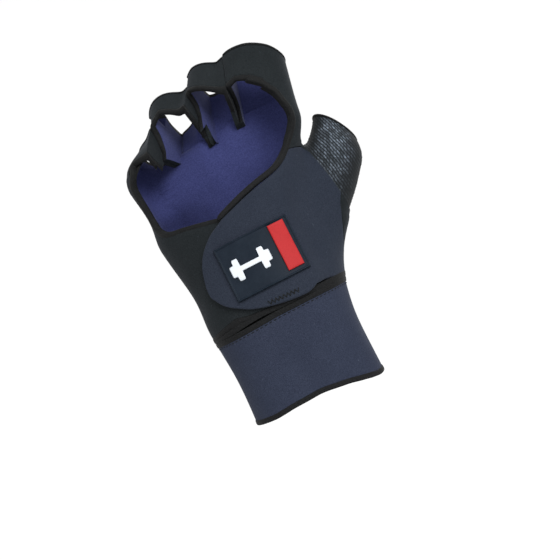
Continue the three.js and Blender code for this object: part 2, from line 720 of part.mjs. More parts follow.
// The wrist band turns once round and overlaps itself on the palm side
const liftEnd = 360 - WRAP_MARGIN;
const wrapLift = (turn) => WRAP_TAIL_LIFT * smoothstep(turn, liftEnd - WRAP_RISE, liftEnd);
const turns = spaced(0, 360 + WRAP_OVERLAP, ANGLE_STEP.wrap);
const wrapPoint = (turn, z, depth) => handPoint(wrapAngle(WRAP_START + turn), z, depth + wrapLift(turn));
addPiece('wrist_wrap', wall(turns, WRAP_ROWS, false, (turn, v, outer) => {
  const angle = wrapAngle(WRAP_START + turn);
  const low = edge('low', angle) + HEM_WIDTH + GAP;
  const high = edge('high', angle) - HEM_WIDTH - GAP;
  return wrapPoint(turn, low + (high - low) * v, outer ? WRAP_THICKNESS : 0);
}), 'band');
for (const [name, column, shift] of [['wrap_hem_upper', 'high', -1], ['wrap_hem_lower', 'low', 0]]) {
  addPiece(name, hem(turns, false, -0.2, WRAP_THICKNESS + 0.4, (turn, v, depth) => (
    wrapPoint(turn, edge(column, wrapAngle(WRAP_START + turn)) + HEM_WIDTH * (v + shift), depth)
  )), 'tape');
}

const fromTo = (centre, size, at) => at.map((share) => centre + size * share);
function badgeShares(size, inner) {
  const rim = [0, BADGE.rimWidth - BADGE.rimSlope, BADGE.rimWidth].map((v) => v / size - 0.5);
  return [...rim, ...inner, ...rim.map((v) => -v).reverse()];
}
const badgeColumns = fromTo(BADGE.x, BADGE.width, badgeShares(BADGE.width, [-0.3, -0.1, 0.1, 0.3]));
const badgeRows = fromTo(BADGE.z, BADGE.height, badgeShares(BADGE.height, [-0.2, 0.0, 0.2]));
const rimStart = BADGE.rimWidth - BADGE.rimSlope / 2;
const onRim = (x, z) => Math.abs(x - BADGE.x) > BADGE.width / 2 - rimStart
  || Math.abs(z - BADGE.z) > BADGE.height / 2 - rimStart;
const badgeHeight = (x, z) => BADGE.base + (onRim(x, z) ? BADGE.rim : 0);
addPiece('badge_plate', plate(badgeColumns, () => badgeRows, 0, badgeHeight), 'rubber');

const onField = BADGE.base + FIELD_GAP;
const barColumns = fromTo(BAR.x, BAR.width, [-0.5, 0, 0.5]);
const barRows = fromTo(BAR.z, BAR.height, [-0.5, -0.25, 0, 0.25, 0.5]);
addPiece('badge_bar', plate(barColumns, () => barRows, onField, () => BAR.thickness), 'red');

const emblemColumns = EMBLEM_PROFILE.map((row) => row.along);
addPiece('badge_emblem', plate(
  emblemColumns.map((along) => EMBLEM.x + (along * EMBLEM.length) / 2),
  (x) => {
    const half = read(EMBLEM_PROFILE, 'along', 'half', (2 * (x - EMBLEM.x)) / EMBLEM.length);
    return fromTo(EMBLEM.z, half, [-1, 0, 1]);
  },
  onField,
  () => EMBLEM.thickness,
), 'white');

export default group;
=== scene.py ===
"""Looks of the open-back fitness glove. Every sewn piece is made again as fine cloth
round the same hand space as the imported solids. Lengths are in millimetres until a mesh
is written. Angles round the hand count from its back (0) towards the thumb (90)."""
import math

import bmesh
import bpy
import numpy as np
from mathutils import Matrix
from mathutils.geometry import delaunay_2d_cdt


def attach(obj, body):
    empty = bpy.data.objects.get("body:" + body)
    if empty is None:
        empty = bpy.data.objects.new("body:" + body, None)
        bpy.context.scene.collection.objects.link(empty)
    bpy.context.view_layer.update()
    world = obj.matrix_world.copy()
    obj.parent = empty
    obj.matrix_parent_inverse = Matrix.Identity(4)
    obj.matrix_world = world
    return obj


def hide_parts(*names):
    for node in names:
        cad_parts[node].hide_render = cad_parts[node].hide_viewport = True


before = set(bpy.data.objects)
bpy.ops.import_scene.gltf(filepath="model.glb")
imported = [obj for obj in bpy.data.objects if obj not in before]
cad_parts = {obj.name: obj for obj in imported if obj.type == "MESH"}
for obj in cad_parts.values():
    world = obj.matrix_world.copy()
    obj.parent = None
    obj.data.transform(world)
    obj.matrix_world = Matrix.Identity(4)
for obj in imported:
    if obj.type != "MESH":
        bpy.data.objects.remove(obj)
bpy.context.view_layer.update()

MM = 0.001
GAP = 0.3
# Inner and outer depth of each wall, out from the hand space
LINING = (0.05, 0.7)
SHELL = (1.0, 3.2)
STALL = (0.1, 1.5)
FLAP_THICKNESS, FLAP_LIFT = 2.3, 2.8
WRAP_THICKNESS, WRAP_TAIL_LIFT = 3.0, 3.9
TAPE_WIDTH, HEM_WIDTH = 3.0, 2.7
# How far a ray may go, and how far past the thumb seam
FAR, PAST_SEAM = 120.0, 4
# Mm of cloth for one degree round the hand, in a flat layout
ARC = 0.58

# Rods of the hand space: one centre, radius, the other centre, radius
RODS = np.array([
    (13, 0, -25, 21, 15.5, 0, 55, 17.5), (-14, 0, -25, 20.5, -13.5, 0, 55, 16.5),
    (11.5, -1, 55, 11, 32, -5, 146, 11.5), (4.5, -2, 55, 11.5, 12, -6, 152, 12),
    (-3.5, -1, 55, 12.5, -9, -2.5, 149, 10.5), (-12.5, 2, 55, 12, -27.5, 6, 145, 10),
    (22.5, 5, 70, 8, 38, 0, 141, 8), (16.5, 12, 68, 9.5, 36.5, 17, 107, 9.5),
    (-17, 9, 68, 9, -26.5, 14, 111, 9.5), (21.5, 8, 60, 10, 66.5, 12, 112, 11.5),
    (57, 12, 106, 7, 76.5, 16, 137, 8), (45, -3, 144, 10, 54.5, 3, 188, 10.5),
    (32, -5, 148, 11.5, 46, 2, 182, 8), (12, -6, 152, 11.5, 25, 12, 184, 7.5),
    (-10, -2.5, 149, 10, 0, 17.5, 178, 10), (-24, 4.5, 146, 9, -13.5, 25.5, 166, 8),
])
# Softness of the rods' union: at the wrist, at the fingers, and the heights between
BLEND = (6, 3, 100, 155)
# Two points of the line round which the hand's angles turn
AXIS = np.array([(0.5, 0, 55), (8, 4, 150)], float)
# Plane of the thumb seam: its x at one height, and how fast x grows above and below it
CROTCH = (52.3, 126.2, 0.5, 0.184)
# The sleeve's root and mouth: centre and direction
THUMB_ROOT = np.array([(55.9, 10, 106.5), (0.983, 0, 0.181)])
THUMB_MOUTH = np.array([(71.0, 14.9, 128.0), (0.81, 0.2, 0.56)])

# Angle, low and high edge of the wrist band, low and high edge of the hand part's hem
WRAP_EDGES = np.array([
    (-180, 1, 51, 51.4, 54), (-140, 2, 51, 51.4, 54), (-110, 3.2, 51.4, 51.8, 54.5),
    (-77, 4.6, 52.2, 52.7, 55.4), (-62, 5.1, 52.5, 52.9, 57.2), (-50, 5.4, 52.7, 53.2, 58.6),
    (-42, 5.9, 52.9, 53.6, 59.5), (-30, 6.6, 53.2, 54.4, 58.2), (-15, 6.8, 53.6, 54.8, 57.6),
    (3, 7.1, 54, 54.6, 57.1), (32, 5.6, 54, 54.4, 56.8), (56, 2.4, 53.7, 54.1, 56.4),
    (72, 0.4, 53.5, 53.9, 56.2), (110, 0, 52.6, 53, 55.4), (145, 0.4, 51.5, 51.9, 54.4),
    (180, 1, 51, 51.4, 54),
])

# Angle and upper edge of the palm panel, and the angles of its gap
PALM_TOP = np.array([
    (-140, 147), (-115, 148), (-95, 150), (-77, 151.5), (64, 158.6), (76, 156.5),
    (90, 151), (110, 148), (180, 147),
])
PALM_TOP_GAP = (-76.5, 56)
# Angle, low and high edge of the openings in the palm panel
OPEN_BACK = np.array([
    (-88, 126, 127), (-86, 119.8, 134), (-83, 117.6, 143), (-79, 115.4, 151), (-78, 114.8, 230),
    (-61, 111.4, 230), (-43, 109.1, 230), (-23, 106.9, 230), (0, 104, 230), (14, 101, 230),
    (62, 122.8, 230), (64.6, 124.9, 230), (65, 125.2, 158.2), (67, 126.8, 153), (68.5, 128, 146.5),
    (71, 133, 138),
])
FLAP_WINDOW = np.array([
    (14, 30, 124.6), (84.2, 30, 124.6), (84.8, 30, 95.5), (85.3, 30, 90.5), (86.8, 30, 85),
    (88.3, 30, 80.5), (90.8, 30, 75.5), (93.8, 30, 71), (97.8, 30, 66.6), (102.8, 30, 63.3),
    (108.8, 30, 61), (113, 30, 60),
])
# Angle and height along the two tapes of the open back
STRAP_TAPE = np.array([
    (-79, 151), (-83, 143), (-86, 134), (-88, 126.5), (-85.5, 119), (-76.5, 114), (-61, 111.4),
    (-43, 109.1), (-23, 106.9), (0, 104), (14, 101),
])
FLAP_TAPE = np.array([
    (-22, 107.2), (0, 110.4), (19, 113.2), (34, 115.2), (45, 116.9), (53.5, 119.1), (62, 122.8),
    (68.5, 128), (71, 133), (71, 138), (70, 142), (68, 148), (67, 153), (65, 157.4),
])
# Angle, low and high edge of the closing flap
FLAP_EDGES = np.array([
    (-56, 79.4, 80.6), (-55, 75, 86.2), (-51, 71.6, 93), (-43, 67, 98.6), (-31, 62.9, 103.3),
    (-21, 60.2, 105.4), (0, 57.2, 108.5), (19, 55.6, 111.3), (34, 55, 113.3), (40, 55.8, 114.2),
    (45, 57, 115), (53, 57, 117), (62, 57, 120.8), (66, 57, 124), (83.4, 56.8, 124),
    (84, 56.8, 95.5), (84.5, 56.8, 90), (86, 56.8, 84.5), (87.5, 56.7, 80), (90, 56.7, 75),
    (93, 56.6, 70.5), (97, 56.5, 66), (102, 56.4, 62.6), (108, 56.3, 60.2), (112, 56.2, 59.2),
])
# Finger loops: name, axis from and to, low edge and high edge by finger angle
LOOPS = [
    ("index_loop", (40, -3, 148), (50.5, 3, 186),
     [(-135, -12), (-112, 8), (-90, 11), (-51, 13.4), (-38, 15.4), (-5, 13.4),
      (15, 10.6), (40, -12)],
     [(-180, 30), (-90, 34), (-59, 35), (-15, 34.7), (31, 32.5), (72, 29.2), (120, 28),
      (180, 30)]),
    ("middle_loop", (11.5, -6, 152), (24.5, 12, 188),
     [(-135, -12), (-112, 12), (-90, 17), (-50, 21.7), (-2, 17.7), (28, 15.5),
      (50, 12), (90, 11), (112, 8), (135, -12)],
     [(-180, 34), (-90, 38), (-50, 39.6), (-18, 39.2), (43, 38), (90, 37), (180, 34)]),
    ("ring_loop", (-12, -2.5, 149), (0.5, 18, 179),
     [(-135, -12), (-112, 6), (-90, 9.5), (-55, 16.5), (-28, 21.8), (7, 19.4),
      (35, 16.4), (90, 12.5), (112, 9), (135, -12)],
     [(-180, 31), (-90, 34), (0, 36), (90, 35), (180, 31)]),
    ("little_loop", (-24, 6, 145), (-13, 26, 167),
     [(-75, -12), (-50, -2), (-27, -2.4), (0, -4.2), (30, -4), (60, 2.5), (90, 8),
      (112, 6), (135, -12)],
     [(-180, 22.5), (-90, 18), (-30, 18), (30, 19), (90, 20), (180, 22.5)]),
]
# Planes between neighbouring fingers: point, normal, height where the shorter one ends
SEPTA = [
    ((28.3, -15, 164.7), (0.955, -0.156, -0.253), 186),
    ((6.0, -8, 172), (0.9, -0.42, -0.1), 182),
    ((-17.5, -1, 160), (0.91, -0.4, -0.1), 168),
]
# The badge's plate, bar and figure: centre and size, thicknesses and rim
BADGE = dict(x=6.1, z=80.4, width=40.0, height=28.6, base=1.0, rim=0.4, rim_width=1.2)
BAR = dict(x=19.5, z=81.0, width=8.6, height=24.4, edge=0.4, rise=1.1)
EMBLEM = dict(x=0.2, z=80.4, length=21.6, rise=0.9)


# ---------- tables and curves
def line(table, column, at):
    return np.interp(at, *np.asarray(table, float)[:, [0, column]].T)


def curve(xs, ys, at):
    """A smooth reading of a table that doesn't swing past its rows."""
    xs, ys = np.asarray(xs, float), np.asarray(ys, float)
    h = np.diff(xs)
    d = np.diff(ys) / h
    a, b = 2 * h[1:] + h[:-1], h[1:] + 2 * h[:-1]
    same = d[:-1] * d[1:] > 0
    one, two = np.where(same, d[:-1], 1), np.where(same, d[1:], 1)
    m = np.concatenate([d[:1], np.where(same, (a + b) / (a / one + b / two), 0), d[-1:]])
    at = np.asarray(at, float)
    i = np.clip(np.searchsorted(xs, at) - 1, 0, len(h) - 1)
    t = np.clip((at - xs[i]) / h[i], 0, 1)
    return (
        ys[i] * (1 + 2 * t) * (1 - t) ** 2 + h[i] * m[i] * t * (1 - t) ** 2
        + ys[i + 1] * t * t * (3 - 2 * t) - h[i] * m[i + 1] * t * t * (1 - t)
    )


def wrap_angle(angle):
    return np.mod(np.asarray(angle, float) + 180, 360) - 180


def ring_curve(table, column, angle):
    """A smooth reading of a table that goes once round."""
    a, b = np.asarray(table, float)[:, [0, column]].T
    return curve([a[-2] - 360, *a, a[1] + 360], [b[-2], *b, b[1]], angle)


def edge(column, angle):
    """Height of an edge: band low (1) and high (2), hand hem low (3) and high (4)."""
    return ring_curve(WRAP_EDGES, column, wrap_angle(angle))


def ease(x, low, high):
    """0 up to low, 1 from high on, smooth between them."""
    t = np.clip((np.asarray(x, float) - low) / (high - low), 0, 1)
    return t * t * (3 - 2 * t)


def unit(a):
    return a / np.linalg.norm(a, axis=-1, keepdims=True)


def arc_lengths(points):
    d = np.linalg.norm(np.diff(points, axis=0), axis=1)
    return np.concatenate([[0], np.cumsum(d)])


# ---------- the hand space
ROD_FROM, ROD_R = RODS[:, :3], RODS[:, 3]
ROD_ALONG, ROD_GROW = RODS[:, 4:7] - ROD_FROM, RODS[:, 7] - ROD_R
# A ray ends this close to its depth, or after so many steps
CLOSE, STEPS = 0.002, 90
# Unevenness of the worn cloth: size, waves round the hand, mm along it, start
WAVES = [(0.34, 3, 17, 1.3), (0.24, 5, -11, 0.4), (0.18, 8, 7.5, 2.2), (0.12, 13, -5.1, 4.0)]
RIPPLE = 0.28
# Rays that lean less than this to the thumb, or to the next finger, have no limit
THUMB_LEAN, FINGER_LEAN = 0.05, 0.02
# Finger angles up to this are on the back, and the least room of a finger's wall
BACK_HALF, LEAST_ROOM = 100, 4
LOOP_TOP = 30.0


def depth_of(p):
    """Depth of points outside the smooth union of the rods."""
    k = BLEND[0] + (BLEND[1] - BLEND[0]) * ease(p[:, 2], BLEND[2], BLEND[3])
    d = p[:, None, :] - ROD_FROM
    t = np.clip((d * ROD_ALONG).sum(2) / (ROD_ALONG ** 2).sum(1), 0, 1)
    off = np.linalg.norm(d - t[..., None] * ROD_ALONG, axis=2) - ROD_R - ROD_GROW * t
    total = np.exp(-np.clip(off / k[:, None], -30, 30)).sum(1)
    return -k * np.log(np.maximum(total, 1e-13))


def normal_at(p, h=0.2):
    return unit(np.stack([depth_of(p + s) - depth_of(p - s) for s in np.eye(3) * h], 1))


def reach(start, ray, depth, limit=FAR):
    """How far along its ray each start comes to its depth, up to its limit."""
    depth, limit = (np.broadcast_to(value, len(start)) for value in (depth, limit))
    far, left = np.zeros(len(start)), np.arange(len(start))
    for _ in range(STEPS):
        step = depth[left] - depth_of(start[left] + ray[left] * far[left, None])
        left = left[step >= CLOSE]
        far[left] += step[step >= CLOSE]
        left = left[far[left] <= limit[left]]
        if not len(left):
            break
    return np.minimum(far, limit)


def any_shape(place):
    """Lets place take arrays of any matching shapes, as rows of numbers."""
    def call(*values, **fixed):
        values = np.broadcast_arrays(*(np.asarray(v, float) for v in values))
        return place(*(v.ravel() for v in values), **fixed).reshape(*values[0].shape, 3)
    return call


def seam_x(z):
    x, at, above, below = CROTCH
    return np.where(z < at, x + below * (at - z), x + above * (z - at))


def axis_at(z):
    t = np.clip((z - AXIS[0, 2]) / (AXIS[1, 2] - AXIS[0, 2]), 0, 1)[:, None]
    p = AXIS[0] + (AXIS[1] - AXIS[0]) * t
    return np.column_stack([p[:, :2], z])


def ripple(angle, z):
    a, z = np.radians(angle), np.asarray(z, float)
    wave = sum(size * np.sin(turns * a + z / along + start) for size, turns, along, start in WAVES)
    return RIPPLE * wave * (1 - ease(z, 136, 146))


@any_shape
def hand_point(angle, z, depth):
    centre, a = axis_at(z), np.radians(angle)
    ray = np.column_stack([np.sin(a), -np.cos(a), 0 * a])
    past = PAST_SEAM + depth - SHELL[1]
    room = (seam_x(z) + past - centre[:, 0]) / np.maximum(ray[:, 0], THUMB_LEAN)
    limit = np.where(ray[:, 0] > THUMB_LEAN, room, FAR)
    return centre + ray * reach(centre, ray, depth + ripple(angle, z), limit)[:, None]


def angle_of(p):
    centre = axis_at(p[:, 2])
    return np.degrees(np.arctan2(p[:, 0] - centre[:, 0], centre[:, 1] - p[:, 1]))


def flap_lift(angle):
    return FLAP_LIFT * (1 - ease(angle, 40, 64))


def rays_round(along, angle, way):
    """Rays out from an axis, by their angle from the back of the hand to one side."""
    back = unit(np.array([0, -1, 0]) + along * along[..., 1:2])
    a = np.radians(angle)[:, None]
    return back * np.cos(a) + way * np.cross(back, along) * np.sin(a)


@any_shape
def finger_point(angle, t, depth, index):
    """Points round a finger, held back by the planes between it and its neighbours."""
    begin, end = (np.array(LOOPS[index][k], float) for k in (1, 2))
    along = unit(end - begin)
    centre = begin + along * t[:, None]
    ray = rays_round(along, angle, -1)
    under = np.maximum(SHELL[1] - depth, 0)
    limit = np.full(len(t), FAR)
    for number, sign in ((index, 1), (index - 1, -1)):
        if not 0 <= number < len(SEPTA):
            continue
        point, normal, until = map(np.array, SEPTA[number])
        free = (sign > 0) & (np.abs(angle) < BACK_HALF)
        above = np.where(free, np.maximum(0, centre[:, 2] - until), 0)
        room = sign * ((centre - point) @ normal) - (GAP / 2 + under) + above
        speed = -sign * (ray @ normal)
        most = np.maximum(room / np.maximum(speed, FINGER_LEAN), LEAST_ROOM - under)
        limit = np.where(speed > FINGER_LEAN, np.minimum(limit, most), limit)
    return centre + ray * reach(centre, ray, depth, limit)[:, None]


def loop_start(index, angle, depth, gap=0.02):
    """Where a finger loop starts: at its low edge, or at the panel's where that is higher."""
    start = line(LOOPS[index][3], 1, angle)

    def clear(t):
        p = finger_point(angle, t, depth, index=index)
        at = angle_of(p)
        on_back = (np.abs(angle) < BACK_HALF) & (at > PALM_TOP_GAP[0]) & (at < PALM_TOP_GAP[1])
        return on_back | (p[:, 2] > line(PALM_TOP, 1, wrap_angle(at)) + gap)

    low, high = start.copy(), np.full(len(start), LOOP_TOP)
    for _ in range(14):
        middle = (low + high) / 2
        ok = clear(middle)
        high, low = np.where(ok, middle, high), np.where(ok, low, middle)
    return np.where(clear(start), start, high)


@any_shape
def stall_point(angle, t, depth, shift=0.0):
    """Points round the thumb, from the sleeve's root (t 0) to its mouth (t 1), then by shift."""
    mixed = THUMB_ROOT + (THUMB_MOUTH - THUMB_ROOT) * t[:, None, None]
    normal = unit(mixed[:, 1])
    centre = mixed[:, 0] + normal * np.reshape(shift, (-1, 1))
    ray = rays_round(normal, angle, 1)
    return centre + ray * reach(centre, ray, depth)[:, None]


@any_shape
def back_point(x, z, lift):
    """Points on the flap, straight out from x and z, lift above its surface."""
    start = np.column_stack([x, 0 * x, z])
    out, top = np.broadcast_to([0.0, -1, 0], start.shape), SHELL[1]
    for _ in range(4):
        seat = start + out * reach(start, out, top)[:, None]
        at = angle_of(seat)
        top = SHELL[0] + flap_lift(at) + FLAP_THICKNESS + ripple(at, seat[:, 2])
    return start + out * reach(start, out, top + lift)[:, None]


# ---------- meshes
NO_LENGTH = 1e-7


def rework(mesh, work, sharp=50):
    """Does work on a mesh's faces, and smooths it but for edges sharper than an angle."""
    form = bmesh.new()
    form.from_mesh(mesh)
    work(form)
    form.to_mesh(mesh)
    form.free()
    mesh.shade_smooth()
    mesh.set_sharp_from_angle(angle=math.radians(sharp))


def drop_empty_faces(form):
    """Closes up edges without length, so that no face without a size is left."""
    bmesh.ops.dissolve_degenerate(form, edges=form.edges[:], dist=NO_LENGTH)


def add_object(name, data):
    obj = bpy.data.objects.new(name, data)
    bpy.context.scene.collection.objects.link(obj)
    return obj


def make_mesh(name, points, faces, finishes, marks, uv=None, sharp=50, threads=None):
    """A piece from points in mm. marks gives each face the number of its finish."""
    mesh = bpy.data.meshes.new(name)
    mesh.from_pydata((np.asarray(points) * MM).tolist(), [], faces)
    if uv is not None:
        layer = mesh.uv_layers.new(name="cloth")
        spots = np.zeros(len(mesh.loops), int)
        mesh.loops.foreach_get("vertex_index", spots)
        layer.data.foreach_set("uv", (np.asarray(uv)[spots] * MM).ravel())
    # per point, how much light thread shows: the knit's dashes with their painted highlight
    if threads is not None:
        data = mesh.attributes.new("thread", "FLOAT", "POINT").data
        data.foreach_set("value", np.ravel(threads))
    for finish in finishes:
        mesh.materials.append(MATERIALS[finish])
    mesh.polygons.foreach_set("material_index", np.asarray(marks, int))
    rework(mesh, drop_empty_faces, sharp)
    mesh.validate()
    return add_object(name, mesh)


def outward(points, faces):
    """The faces, turned outwards. A sample of them tells which way they look."""
    volume = 0.0
    for face in faces[:: max(1, len(faces) // 4000)]:
        a = points[face[0]]
        for k in range(1, len(face) - 1):
            volume += np.dot(a, np.cross(points[face[k]], points[face[k + 1]]))
    return [f[::-1] for f in faces] if volume < 0 else faces


def sweep(name, rings, closed, finishes, marks=0, uv=None, **more):
    """A closed body round rings of section points, of shape (steps, section, 3)."""
    steps, size = rings.shape[:2]
    points = rings.reshape(-1, 3)
    i, j = np.meshgrid(np.arange(steps if closed else steps - 1), np.arange(size), indexing="ij")
    i, j = i.ravel(), j.ravel()
    n, k = (i + 1) % steps, (j + 1) % size
    faces = np.column_stack([i * size + j, n * size + j, n * size + k, i * size + k]).tolist()
    marks = np.broadcast_to(marks, (steps, size))[i, j].tolist()
    if not closed:
        faces += [list(range(size)), [(steps - 1) * size + s for s in range(size)][::-1]]
        marks += [0, 0]
    if uv is not None:
        uv = np.stack([np.broadcast_to(side, (steps, size)) for side in uv], 2).reshape(-1, 2)
    return make_mesh(name, points, outward(points, faces), finishes, marks, uv, **more)


# A section of cloth: share of its height, shift in mm, depth, kind of face
CLOTH, HEM, BACK = 0, 1, 2
HEM_RIDGE, HEM_GROOVE = 0.3, 0.25
# Mm from an edge, or from its hem, to the first row of the plain cloth
PAST_EDGE, PAST_HEM = 0.4, 1.0


def profile(inner, outer, rows, low_hem=0.0, high_hem=0.0):
    """A section with round edges, and a folded hem at each edge that has a hem width."""
    half, middle = (outer - inner) / 2, (outer + inner) / 2

    def end(share, way, hem):
        ridge, kind = (HEM_RIDGE, HEM) if hem else (0, CLOTH)
        spots = [(share, way * half * (1 - math.cos(bend)),
                  middle + half * math.sin(bend) + ridge * max(0.0, math.sin(bend)), kind)
                 for bend in np.linspace(-math.pi / 2, math.pi / 2, 9)]
        if hem:
            spots += [
                (share, way * (half + (hem - half) * 0.45), outer + ridge * 1.15, kind),
                (share, way * (hem - 0.35), outer + ridge, kind),
                (share, way * hem, outer + ridge * 0.4, kind),
                (share, way * (hem + 0.1), outer - HEM_GROOVE, CLOTH),
                (share, way * (hem + 0.6), outer, CLOTH),
            ]
        return spots

    def side(shares, depth, kind):
        return [(s, low * (1 - s) - high * s, depth, kind) for s in shares]

    low, high = (hem + PAST_HEM if hem else half + PAST_EDGE for hem in (low_hem, high_hem))
    return np.array(
        end(0, 1, low_hem) + side(np.linspace(0, 1, rows), outer, CLOTH)
        + end(1, -1, high_hem)[::-1] + side(np.linspace(1, 0, rows), inner, BACK))


# ---------- materials
class Shade:
    """A material, and a few calls that join shader nodes."""

    def __init__(self, name):
        self.material = bpy.data.materials.new(name)
        self.material.use_nodes = True
        self.tree = self.material.node_tree
        self.bsdf = self.tree.nodes["Principled BSDF"]

    def node(self, kind, sockets=None, **values):
        n = self.tree.nodes.new("ShaderNode" + kind)
        for key, value in values.items():
            setattr(n, key, value)
        self.fill(n, sockets or {})
        return n

    def fill(self, node, sockets):
        """Sets sockets: a constant on the socket itself, or a link to another node."""
        for key, value in sockets.items():
            if isinstance(value, bpy.types.NodeSocket):
                self.tree.links.new(value, node.inputs[key])
            else:
                node.inputs[key].default_value = value

    def surface(self, **sockets):
        self.fill(self.bsdf, {key.replace("_", " "): value for key, value in sockets.items()})
        return self.material

    def times(self, a, b, clamp=False):
        n = self.node("Math", {0: a, 1: b}, operation="MULTIPLY", use_clamp=clamp)
        return n.outputs[0]

    def mix(self, share, a, b):
        n = self.node("Mix", {"Factor": share, 6: a, 7: b}, data_type="RGBA")
        return n.outputs[2]

    def noise(self, where, scale, detail, rough):
        return self.node("TexNoise", {
            "Vector": where, "Scale": scale, "Detail": detail, "Roughness": rough}).outputs["Fac"]

    def ramp(self, value, low, high, to_low=0.0, to_high=1.0):
        return self.node("MapRange", {
            "Value": value, "From Min": low, "From Max": high,
            "To Min": to_low, "To Max": to_high}).outputs[0]

    def bump(self, height, distance, strength, **more):
        return self.node("Bump", {
            "Height": height, "Distance": distance, "Strength": strength, **more}).outputs[0]


def tone(rgb, factor=1.0, more=0.0):
    """A colour as linear light, made darker or lighter."""
    c = np.array(rgb, float) / 255
    c = np.where(c < 0.04045, c / 12.92, ((c + 0.055) / 1.055) ** 2.4)
    return (*np.minimum(1, c * factor + more), 1.0)


def grained(name, grain, cloud):
    """A new shade, object coordinates, a fine noise and a wide one."""
    s = Shade(name)
    where = s.node("TexCoord").outputs["Object"]
    return s, where, s.noise(where, *grain), s.noise(where, *cloud)


def cloth_shade(name, rgb, rough=0.85, sheen=0.0375, speck=0.25, scale=1.0, tint=(120, 130, 145)):
    """A fine jersey face on foam: small loops in rows, a little lint and soft wear."""
    s, where, grain, cloud = grained(name, (2600 / scale, 2.0, 0.6), (60, 4.0, 0.6))
    lying = s.node("Mapping", {"Vector": where, "Scale": (1, 1, 0.4)}).outputs[0]
    lint = s.noise(lying, 900 / scale, 3.0, 0.7)
    dark = tone(rgb, 1 - speck)
    colour = s.mix(s.ramp(grain, 0.35, 0.65), dark, tone(rgb, 1 + speck, 0.004))
    colour = s.mix(s.ramp(cloud, 0.3, 0.75, 0.0, 0.35), colour, dark)
    colour = s.mix(s.ramp(lint, 0.68, 0.8, 0.0, 0.22), colour, tone(tint))
    loops = s.node("TexVoronoi", {"Vector": where, "Scale": 1700 / scale})
    relief = s.bump(loops.outputs["Distance"], 0.00012, 0.5)
    return s.surface(
        Base_Color=colour,
        Roughness=s.ramp(cloud, 0.3, 0.7, rough - 0.06, min(1, rough + 0.06)),
        Sheen_Weight=sheen, Sheen_Roughness=0.45, Sheen_Tint=(0.8, 0.85, 1.0, 1.0),
        Specular_IOR_Level=0.06, Normal=s.bump(cloud, 0.0012, 0.35, Normal=relief))


def tape_shade(name, rgb):
    """Woven edge binding: a fine, close grain, a little paler where it is rubbed."""
    s, _, grain, cloud = grained(name, (1800, 3.0, 0.6), (90, 3.0, 0.5))
    light = tone(rgb, 1.5, 0.004)
    colour = s.mix(s.ramp(grain, 0.35, 0.65), tone(rgb, 0.6), light)
    return s.surface(
        Base_Color=s.mix(s.ramp(cloud, 0.45, 0.75, 0.0, 0.4), colour, light),
        Roughness=s.ramp(grain, 0.3, 0.7, 0.62, 0.8), Sheen_Weight=0.02,
        Specular_IOR_Level=0.08, Normal=s.bump(grain, 0.0002, 0.6))


def knit_shade(name, rgb, thread_rgb):
    """Knitted mesh: light dashes of thread on dark yarn, from the mesh's own ribs and the painted
    highlight on them.
    """
    s, where, grain, cloud = grained(name, (2400, 2.0, 0.6), (170, 3.0, 0.6))
    # the thread attribute holds the knit's dashes times a painted highlight, brighter where the
    # sleeve faces the back
    pull = s.node("Attribute", attribute_name="thread").outputs["Fac"]
    fleck = s.noise(where, 1100, 2.0, 0.6)
    share = s.times(pull, s.ramp(cloud, 0.3, 0.62, 0.35, 1.0))
    share = s.times(share, s.ramp(fleck, 0.36, 0.64, 0.3, 1.0), clamp=True)
    yarn = s.mix(s.ramp(grain, 0.35, 0.65), tone(rgb, 0.75), tone(rgb))
    return s.surface(
        Base_Color=s.mix(share, yarn, tone(thread_rgb)), Roughness=0.8, Sheen_Weight=0.03,
        Specular_IOR_Level=0.1, Normal=s.bump(grain, 0.0002, 0.5))


def rubber_shade(name, rgb, speck=0.12):
    """Soft moulded rubber: a fine satin grain and a few rubbed places."""
    s, _, grain, cloud = grained(name, (3200, 2.0, 0.5), (140, 4.0, 0.65))
    dark, light = tone(rgb, 1 - speck), tone(rgb, 1 + speck, 0.003)
    return s.surface(
        Base_Color=s.mix(s.ramp(cloud, 0.3, 0.7), dark, light),
        Roughness=s.ramp(cloud, 0.3, 0.7, 0.45, 0.6), Specular_IOR_Level=0.08,
        Normal=s.bump(grain, 0.00008, 0.4))


MATERIALS = {
    "neoprene": cloth_shade("neoprene_black", (20, 24, 26)),
    "navy": cloth_shade("neoprene_navy", (29, 34, 44)),
    "band": cloth_shade("band_navy", (34, 39, 53)),
    "tape": tape_shade("binding_black", (9, 10, 11)),
    "lining": cloth_shade("lining_blue", (42, 46, 84), 0.92, 0.075, 0.2, 1.6, (76, 82, 128)),
    "knit": knit_shade("knit_dark", (17, 20, 22), (116, 127, 140)),
    "rubber": rubber_shade("rubber_navy", (12, 21, 31)),
    "red": rubber_shade("rubber_red", (141, 30, 32), 0.06),
    "white": rubber_shade("rubber_white", (180, 185, 191), 0.03),
    "thread": tape_shade("sewing_thread", (13, 15, 17)),
}


def dress(obj, node):
    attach(obj, "root")
    if node:
        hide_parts(node)
    return obj


# ---------- the palm panel
PALM_LOW_CLEAR = 0.12
# Spacing of the points inside a flat layout, and along its openings
SPACING, EDGE_SPACING = 1.7, 1.2
# Openings reach past the panel's edges, down and up to these heights
BELOW, ABOVE = 40.0, 176.0
# How much thinner the panel is at the lower thumb seam, and how far from it
SEAM_THIN, SEAM_NEAR = 1.1, 5.5
CUFF, TUCK, CUFF_SINK = 4.0, 5.5, 0.8


def seam_thin(z):
    return SEAM_THIN * (1 - ease(z, 96, 108))


